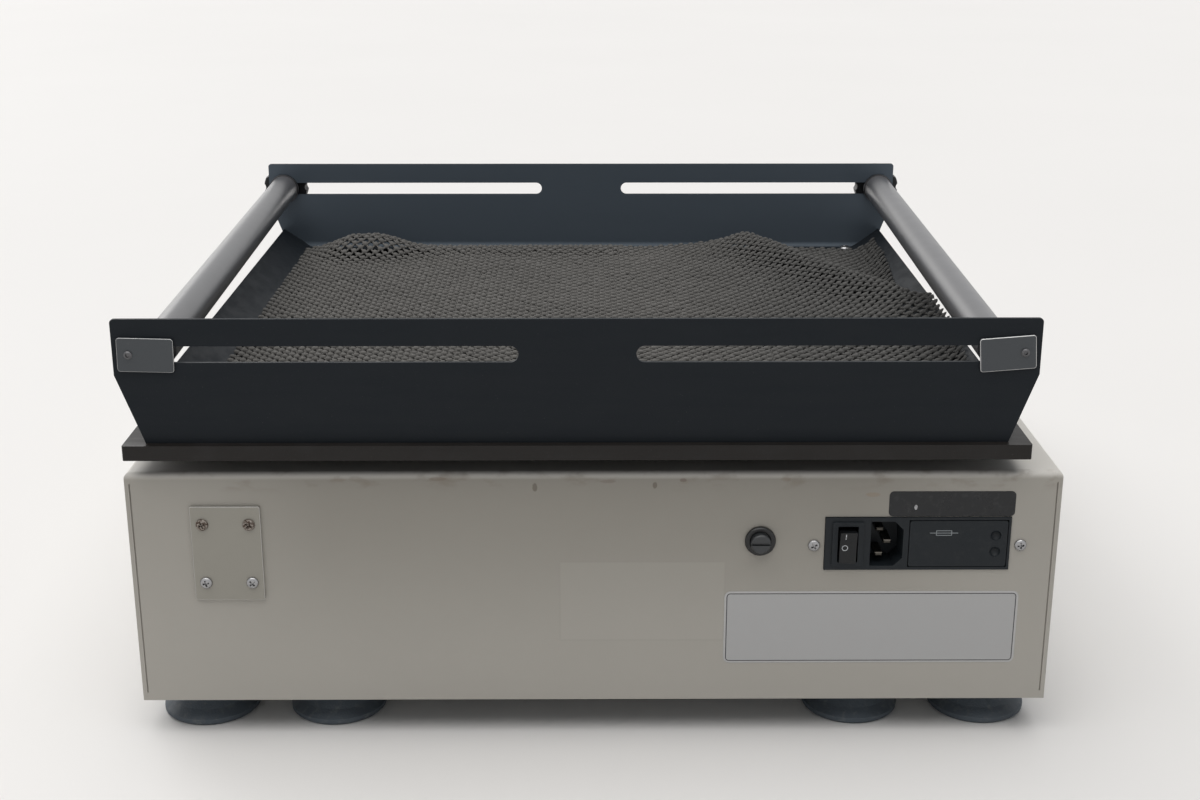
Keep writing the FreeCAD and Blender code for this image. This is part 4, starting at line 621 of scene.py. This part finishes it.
def cross_head():
    """A pan head of radius 1 along +Z with its cross recess, seated at 0, and a shank below."""
    profile = [(0.58, -2.4), (0.58, 0.0), (0.97, 0.0), (1.0, 0.07), (0.98, 0.22), (0.90, 0.38),
               (0.74, 0.51), (0.50, 0.59), (0.24, 0.62), (0.05, HEAD_TOP)]
    points, faces = lathe(profile, 40)
    head = mesh_of("head", points, faces, smooth=False)
    arm = [(x * half_x, y * half_y, z) for half_x, half_y, z in ((0.36, 0.12, 0.14), (0.70, 0.165, 0.9))
           for x, y in ((-1, -1), (1, -1), (1, 1), (-1, 1))]
    sides = [(3, 2, 1, 0), (4, 5, 6, 7), (0, 1, 5, 4), (1, 2, 6, 5), (2, 3, 7, 6), (3, 0, 4, 7)]
    for box in (arm, [(-y, x, z) for x, y, z in arm]):
        head = cut_with(head, mesh_of("arm", box, sides, smooth=False))
    return head


def placed(mesh, places, size, height, axis, name):
    """Copies of one screw mesh in one piece: at each place (x, y, z, turn), its head along axis."""
    work = bmesh.new()
    turn_to = Vector((0, 0, 1)).rotation_difference(Vector(axis)).to_matrix().to_4x4()
    for x, y, z, turn in places:
        copy = mesh.copy()
        scale = Matrix.Diagonal((size, size, height / HEAD_TOP, 1.0))
        copy.transform(Matrix.Translation((x, y, z)) @ turn_to @ Matrix.Rotation(turn, 4, "Z") @ scale)
        work.from_mesh(copy)
    made = bpy.data.meshes.new(name)
    work.to_mesh(made)
    work.free()
    made.shade_smooth()
    sharp_from(made, 38)
    return made


def sharp_from(mesh, degrees):
    """Marks edges sharper than this, so that smooth shading keeps them."""
    work = bmesh.new()
    work.from_mesh(mesh)
    for e in work.edges:
        e.smooth = not (len(e.link_faces) == 2 and e.calc_face_angle(0.0) > math.radians(degrees))
    work.to_mesh(mesh)
    work.free()


def rounded_outline(half_x, half_z, radius, steps=7):
    """Points round a rectangle with round corners."""
    spots = []
    for sx, sz, start in ((1, 1, 0), (-1, 1, 90), (-1, -1, 180), (1, -1, 270)):
        for i in range(steps):
            turn = math.radians(start + 90 * i / (steps - 1))
            spots.append((sx * (half_x - radius) + radius * math.cos(turn),
                          sz * (half_z - radius) + radius * math.sin(turn)))
    return spots


def label(name, x, z, half_x, half_z, radius, thick, rings, looks):
    """A thin label on the rear panel. rings are (inset, material index) from the rim inwards."""
    points, faces, kinds = [], [], []
    count = len(rounded_outline(half_x, half_z, radius))
    face_y = REAR_Y - thick
    levels = [(0.0, REAR_Y), (0.0, face_y + thick * 0.3), (0.00012, face_y)]
    levels += [(inset, face_y) for inset, _ in rings]
    for inset, y in levels:
        for px, pz in rounded_outline(half_x - inset, half_z - inset, max(radius - inset, 0.0004)):
            points.append((px, y, pz))
    kinds_of = [0, 0] + [kind for _, kind in rings]
    for level in range(len(levels) - 1):
        for i in range(count):
            j = (i + 1) % count
            a, b = level * count, (level + 1) * count
            faces.append((a + i, a + j, b + j, b + i))
            kinds.append(kinds_of[level])
    last = (len(levels) - 1) * count
    faces.append(tuple(range(last, last + count)))
    kinds.append(rings[-1][1])
    spots = [(x + px, py, z + pz) for px, py, pz in points]
    mesh = mesh_of(name, spots, faces, smooth=False, indices=kinds)
    work = bmesh.new()
    work.from_mesh(mesh)
    bmesh.ops.recalc_face_normals(work, faces=work.faces)
    work.to_mesh(mesh)
    work.free()
    piece(name, mesh, "base", "plate_paint", looks=looks)


def printed(name, node, loops, body, look, slot, lift=0.00003):
    """Thin marks laid on a rear-facing surface.

    Each loop is (outer points, inner points or None) in X and Z.
    """
    carrier = nodes[node].data
    tree = BVHTree.FromPolygons([v.co for v in carrier.vertices], [tuple(p.vertices) for p in carrier.polygons])

    def seat(x, z):
        hit = tree.ray_cast(Vector((x, -0.5, z)), Vector((0, 1, 0)))[0]
        return (x, hit.y - lift, z)

    points, faces = [], []
    for outer, inner in loops:
        start = len(points)
        points += [seat(x, z) for x, z in outer]
        if inner is None:
            faces.append(tuple(range(start, start + len(outer))))
            continue
        points += [seat(x, z) for x, z in inner]
        count = len(outer)
        for i in range(count):
            j = (i + 1) % count
            faces.append((start + i, start + j, start + count + j, start + count + i))
    mesh = mesh_of(name, points, faces, smooth=False)
    work = bmesh.new()
    work.from_mesh(mesh)
    whole = bmesh.ops.extrude_face_region(work, geom=work.faces[:])
    moved = [v for v in whole["geom"] if isinstance(v, bmesh.types.BMVert)]
    bmesh.ops.translate(work, verts=moved, vec=(0, 0.00002, 0))
    bmesh.ops.recalc_face_normals(work, faces=work.faces)
    work.to_mesh(mesh)
    work.free()
    return piece(name, mesh, body, slot, looks=[look])


def ring_points(x, z, radius, steps=28):
    turns = [2 * math.pi * i / steps for i in range(steps)]
    return [(x + radius * math.cos(turn), z + radius * math.sin(turn)) for turn in turns]


def box_points(x, z, half_x, half_z):
    return [(x + i * half_x, z + k * half_z) for i, k in ((-1, -1), (1, -1), (1, 1), (-1, 1))]


# Formed and moulded pieces with their edges broken

dressed("case_cover", 0.00035)
dressed("platform_plate", 0.0007, segments=3)
dressed("tray", 0.00045)
dressed("port_cover_plate", 0.00035, edge=WORN_EDGE)
for side in ("left", "right"):
    dressed(f"{side}_keeper_plate", 0.0004, edge=WORN_EDGE)
dressed("power_entry_body", 0.0003)
dressed("main_fuse_drawer", 0.0003)
dressed("power_rocker", 0.0004, segments=3)
dressed("fuse_holder_body", 0.0003)
dressed("fuse_holder_cap", 0.00025, looks=[FUSE_CAP])
dressed("control_fascia", 0.0002)
dressed("base_plate", 0.0003)

# Screws with their recesses

CROSS = cross_head()


def panel_screws(name, face_y, places, turns, node, looks=None):
    """Screws in the rear panel, or in the plate on it."""
    spots = [(x, face_y, z, turn) for (x, z), turn in zip(places, turns)]
    mesh = placed(CROSS, spots, PANEL_SCREW_HEAD, PANEL_SCREW_HEIGHT, (0, -1, 0), name)
    piece(name, mesh, "base", "screw_steel", node, looks=looks)


panel_screws("cover_screws_upper", PLATE_FACE_Y, PLATE_SCREWS[:2], (0.4, 1.0), "port_cover_screws", [RUSTED])
panel_screws("cover_screws_lower", PLATE_FACE_Y, PLATE_SCREWS[2:], (0.2, 0.75), "port_cover_screws")
panel_screws("module_screws", REAR_Y, MODULE_SCREWS, (0.5, 0.1), "power_entry_screws")
corners = [(x, y, FLOOR_TOP, 0.3 + i) for i, (x, y) in enumerate(TRAY_SCREWS)]
piece("tray_corner_screws",
      placed(CROSS, corners, TRAY_SCREW_HEAD, TRAY_SCREW_HEIGHT, (0, 0, 1), "tray_corner_screws"),
      "platform", "screw_steel", "tray_screws")


def socket_screw(node):
    """The keeper plate's screw with the hexagonal hollow in its head."""
    hollow_radius, hollow_depth = 0.0012, 0.0008
    mesh = nodes[node].data.copy()
    front = min(v.co.y for v in mesh.vertices)
    rim = [v.co for v in mesh.vertices if v.co.y < front + 0.00002]
    middle = sum(rim, Vector()) / len(rim)
    turns = [math.radians(60 * i + 12) for i in range(6)]
    ring = [(middle.x + hollow_radius * math.cos(t), middle.z + hollow_radius * math.sin(t)) for t in turns]
    points = [(x, front - 0.001, z) for x, z in ring] + [(x, front + hollow_depth, z) for x, z in ring]
    faces = [(0, 1, 2, 3, 4, 5), (11, 10, 9, 8, 7, 6)]
    faces += [(i + 6, (i + 1) % 6 + 6, (i + 1) % 6, i) for i in range(6)]
    cut = cut_with(mesh, mesh_of("hollow", points, faces, smooth=False))
    sharp_from(cut, 30)
    cut.shade_smooth()
    piece(node + "_socket", cut, BODY_OF[node], "screw_steel", node, looks=[BLACK_BOLT])


for side in ("left", "right"):
    socket_screw(f"{side}_keeper_screw")


# The loose mat: staggered foam lumps joined by thin webs, with open holes between

def mat_rise(x, y):
    """How far the sheet lifts off the tray, at points measured from the tray's centre."""
    rise = np.zeros_like(x)
    for x0, y0, x1, y1, near, far, high in WRINKLES:
        run = (x1 - x0) ** 2 + (y1 - y0) ** 2
        share = np.clip(((x - x0) * (x1 - x0) + (y - y0) * (y1 - y0)) / run, 0.0, 1.0)
        away = np.hypot(x - x0 - share * (x1 - x0), y - y0 - share * (y1 - y0))
        beyond = (x - x0) * (y1 - y0) - (y - y0) * (x1 - x0) < 0
        rise += high * np.exp(-((away / np.where(beyond, far, near)) ** 2))
    rise += 0.0002 * (1 + np.sin(x * 61 + 1.3 * np.sin(y * 37))) * (1 + np.sin(y * 53 + 1.1 * np.sin(x * 29)))
    along = np.maximum(0.0, np.abs(x) - LIP_FOOT + LIP_BEND)
    slope = (np.abs(x) - LIP_FOOT) * LIP_HEIGHT / LIP_RUN
    climb = np.maximum(along**2 / (6 * LIP_BEND), slope) + np.where(along > 0, 0.0004, 0.0)
    return np.cbrt(rise**3 + climb**3)


def mat_slide(points):
    """Shifts the sheet's right side as the folds pull it: in along the fold, and out over the lip nearer by."""
    x, y = points[:, 0], points[:, 1]
    side = np.clip((x - 0.11) / 0.10, 0.0, 1.0) ** 2
    spots = [-0.207, -0.110, -0.040, 0.006, 0.040, 0.072, 0.090, 0.121, 0.150, 0.207]
    shifts = [0.0, 0.0050, 0.0080, 0.0075, 0.0015, -0.0026, -0.0012, 0.0008, 0.0023, 0.0028]
    corner = np.clip((y - 0.14) / 0.067, 0.0, 1.0) ** 2
    points[:, 0] = x + side * np.interp(y, spots, shifts)
    points[:, 1] = y - 0.008 * side * corner


def foam_mat():
    """Every lump and web of the mat in one mesh, laid over the tray's floor and its own folds."""
    pitch_x, pitch_y = 0.0074, 0.0043
    half_wide, half_deep, bead_top = 0.00215, 0.00180, 0.0031
    edge_room = 0.0024
    screw_room = TRAY_SCREW_HEAD + 0.0032
    web_root = 0.00155
    steps = 10
    chance = np.random.default_rng(7)
    # A lump's rings: share of its half width, height above the sheet's underside
    rings = [(0.60, 0.0002), (1.0, 0.0012), (0.92, 0.0021), (0.60, 0.0028)]
    columns = int(MAT_WIDTH / pitch_x) + 1
    rows = int(MAT_DEPTH / pitch_y)
    centres, index_of = [], {}
    for row in range(rows):
        y = (row - (rows - 1) / 2) * pitch_y
        for column in range(columns):
            x = (column - (columns - 1) / 2 + 0.5 * (row % 2) - 0.25) * pitch_x + MAT_SHIFT
            if abs(x - MAT_SHIFT) > MAT_WIDTH / 2 - edge_room:
                continue
            if abs(x) > SCREW_X - screw_room and abs(y) > SCREW_Y - screw_room:
                continue
            index_of[(row, column)] = len(centres)
            centres.append((x, y))
    centres = np.array(centres)
    count = len(centres)
    centres = centres + chance.normal(0.0, 0.00018, centres.shape)
    turn = 2 * np.pi * np.arange(steps) / steps
    wide = half_wide * chance.normal(1.0, 0.05, (count, 1, 1))
    deep = half_deep * chance.normal(1.0, 0.05, (count, 1, 1))
    tall = chance.normal(1.0, 0.05, (count, 1, 1))
    radii = np.array([r for r, _ in rings])[None, :, None]
    uneven = 1 + 0.06 * chance.normal(0.0, 1.0, (count, 1, steps))
    x = centres[:, 0, None, None] + wide * radii * uneven * np.cos(turn)
    y = centres[:, 1, None, None] + deep * radii * uneven * np.sin(turn)
    z = np.broadcast_to(np.array([h for _, h in rings])[None, :, None] * tall, x.shape)
    lump = np.stack([x, y, z], axis=-1).reshape(count, -1, 3)
    tops = np.stack([centres[:, 0], centres[:, 1], bead_top * tall[:, 0, 0]], axis=-1)
    lows = np.stack([centres[:, 0], centres[:, 1], np.full(count, 0.00005)], axis=-1)
    each = np.concatenate([lump, tops[:, None], lows[:, None]], axis=1)
    per = each.shape[1]
    top, low = per - 2, per - 1
    pattern = []
    for ring in range(len(rings) - 1):
        for i in range(steps):
            j = (i + 1) % steps
            a, b = ring * steps, (ring + 1) * steps
            pattern.append((a + i, a + j, b + j, b + i))
    last = (len(rings) - 1) * steps
    caps = [(last + i, last + (i + 1) % steps, top) for i in range(steps)]
    caps += [((i + 1) % steps, i, low) for i in range(steps)]
    base = (np.arange(count) * per)[:, None, None]
    quads = (np.array(pattern)[None] + base).reshape(-1, 4)
    triangles = (np.array(caps)[None] + base).reshape(-1, 3)
    points = each.reshape(-1, 3)

    # Webs from each lump to the two nearest in the next row
    pairs = []
    for (row, column), index in index_of.items():
        for step in (0, 1):
            other = index_of.get((row + 1, column + step - (1 - row % 2)))
            if other is not None:
                pairs.append((index, other))
    pairs = np.array(pairs)
    start, end = centres[pairs[:, 0]], centres[pairs[:, 1]]
    along = end - start
    along /= np.linalg.norm(along, axis=1)[:, None]
    across = np.stack([-along[:, 1], along[:, 0]], axis=-1)
    # A web's section: off its middle line, height above the sheet's underside
    section = [(-0.0006, 0.0005), (0.0006, 0.0005), (0.0007, 0.0012), (0.0, 0.0018), (-0.0007, 0.0012)]
    ends = []
    for centre, sign in ((start, 1), (end, -1)):
        root = centre + sign * along * web_root
        for off, height in section:
            spot = root + across * off
            ends.append(np.stack([spot[:, 0], spot[:, 1], np.full(len(spot), height)], axis=-1))
    web = np.stack(ends, axis=1)
    sides = [(i, (i + 1) % 5, 5 + (i + 1) % 5, 5 + i) for i in range(5)]
    first = len(points) + (np.arange(len(pairs)) * 10)[:, None, None]
    web_quads = (np.array(sides)[None] + first).reshape(-1, 4)
    web_ends = (np.array([(4, 3, 2, 1, 0), (5, 6, 7, 8, 9)])[None] + first).reshape(-1, 5)
    points = np.concatenate([points, web.reshape(-1, 3)])
    mat_slide(points)
    points[:, 2] += MAT_LOW + mat_rise(points[:, 0], points[:, 1])
    points[:, 0] += TRAY_X
    points[:, 1] += TRAY_Y

    mesh = bpy.data.meshes.new("foam_mat")
    groups = [quads, triangles, web_quads, web_ends]
    corners = np.concatenate([g.reshape(-1) for g in groups]).astype(np.int32)
    sizes = np.concatenate([np.full(len(g), g.shape[1]) for g in groups]).astype(np.int32)
    mesh.vertices.add(len(points))
    mesh.vertices.foreach_set("co", points.astype(np.float32).reshape(-1))
    mesh.loops.add(len(corners))
    mesh.loops.foreach_set("vertex_index", corners)
    mesh.polygons.add(len(sizes))
    mesh.polygons.foreach_set("loop_start", np.concatenate([[0], np.cumsum(sizes)[:-1]]).astype(np.int32))
    mesh.update(calc_edges=True)
    mesh.validate()
    mesh.shade_smooth()
    made = piece("foam_mat", mesh, "platform", "mat_foam", "mat")


foam_mat()


# Blank labels on the rear panel

label("black_label", x=0.18405, z=0.1314, half_x=0.03255, half_z=0.0069, radius=0.0024, thick=0.00018,
      rings=[(0.0004, 0)], looks=[BLACK_LABEL])
label("silver_label", x=0.1450, z=0.0619, half_x=0.0770, half_z=0.0206, radius=0.0032, thick=0.00015,
      rings=[(0.0011, 0), (0.0016, 1), (0.003, 2)], looks=[LABEL_RIM, LABEL_LINE, SILVER_LABEL])

# Switch marks and the fuse symbol

printed("switch_marks", "power_rocker",
        [(box_points(0.1295, 0.1157, 0.00020, 0.0009), None),
         (box_points(0.1295, 0.1139, 0.00020, 0.0004), None),
         (ring_points(0.1293, 0.1082, 0.0016), ring_points(0.1293, 0.1082, 0.00128))],
        "power_switch", MARK_WHITE, "rocker_plastic")
LINE = 0.00018
BOX_X, BOX_Z = 0.1806, 0.1155
HALF_X, HALF_Z = 0.0041, 0.00145
LEAD_OFF, LEAD_HALF = 0.0057, 0.0016
inside = (HALF_X - 2 * LINE, HALF_Z - 2 * LINE)
printed("fuse_symbol", "main_fuse_drawer",
        [(box_points(BOX_X, BOX_Z, HALF_X, HALF_Z), box_points(BOX_X, BOX_Z, *inside)),
         (box_points(BOX_X, BOX_Z, inside[0], LINE), None),
         (box_points(BOX_X - LEAD_OFF, BOX_Z, LEAD_HALF, LINE), None),
         (box_points(BOX_X + LEAD_OFF, BOX_Z, LEAD_HALF, LINE), None)],
        "fuse_drawer", MARK_GREY, "module_plastic")


# Floor, light and camera

def floor():
    """A wide sheet of pale paper."""
    made = Finish("floor_paper", 0.7, specular=0.15)
    made.colour(made.mix(made.noise(1.5), (0.80, 0.79, 0.78), (0.83, 0.82, 0.81)))
    made.bump(made.noise(300.0), 0.00003)
    half = 9.0
    points = [(x, y, 0) for x, y in box_points(0, 0, half, half)]
    mesh = mesh_of("floor", points, [(0, 1, 2, 3)], smooth=False)
    mesh.materials.append(made.material)
    sheet = bpy.data.objects.new("floor", mesh)
    bpy.context.scene.collection.objects.link(sheet)


floor()

# Even fill light, which the camera, gloss and glass see as a white room
world = bpy.data.worlds.new("studio")
bpy.context.scene.world = world
world.use_nodes = True
tree = world.node_tree
tree.nodes.clear()
seen = tree.nodes.new("ShaderNodeBackground")
seen.inputs["Color"].default_value = (0.88, 0.88, 0.885, 1)
fill = tree.nodes.new("ShaderNodeBackground")
fill.inputs["Color"].default_value = (0.93, 0.96, 1.0, 1)
fill.inputs["Strength"].default_value = 0.21
path = tree.nodes.new("ShaderNodeLightPath")
either, any_of_three = (tree.nodes.new("ShaderNodeMath") for _ in range(2))
either.operation = any_of_three.operation = "MAXIMUM"
mixed = tree.nodes.new("ShaderNodeMixShader")
out = tree.nodes.new("ShaderNodeOutputWorld")
tree.links.new(path.outputs["Is Camera Ray"], either.inputs[0])
tree.links.new(path.outputs["Is Glossy Ray"], either.inputs[1])
tree.links.new(either.outputs[0], any_of_three.inputs[0])
tree.links.new(path.outputs["Is Transmission Ray"], any_of_three.inputs[1])
tree.links.new(any_of_three.outputs[0], mixed.inputs["Fac"])
tree.links.new(fill.outputs[0], mixed.inputs[1])
tree.links.new(seen.outputs[0], mixed.inputs[2])
tree.links.new(mixed.outputs[0], out.inputs["Surface"])


def sun(name, strength, spread, towards, tint):
    """A soft lamp, spread in degrees, that shines along towards."""
    lamp = bpy.data.lights.new(name, "SUN")
    lamp.energy = strength
    lamp.angle = math.radians(spread)
    lamp.color = tint
    made = bpy.data.objects.new(name, lamp)
    made.rotation_euler = Vector(towards).to_track_quat("-Z", "Y").to_euler()
    bpy.context.scene.collection.objects.link(made)


sun("overhead", 2.45, 75, (0.10, 0.10, -1.0), (1.0, 0.985, 0.965))
sun("far_left", 0.80, 35, (0.60, -0.85, -0.45), (1.0, 0.98, 0.96))

# The view solved from the photo
camera = bpy.data.cameras.new("photo_view")
camera.lens = 50.63
camera.sensor_width = 36.0
camera.clip_start = 0.01
camera.clip_end = 60.0
eye = bpy.data.objects.new("photo_view", camera)
eye.location = (-0.00212, -1.11726, 0.44990)
eye.rotation_euler = (math.radians(90 - 17.99), math.radians(-0.02), math.radians(-0.35))
bpy.context.scene.collection.objects.link(eye)
bpy.context.scene.camera = eye
bpy.context.scene.view_settings.view_transform = "Standard"
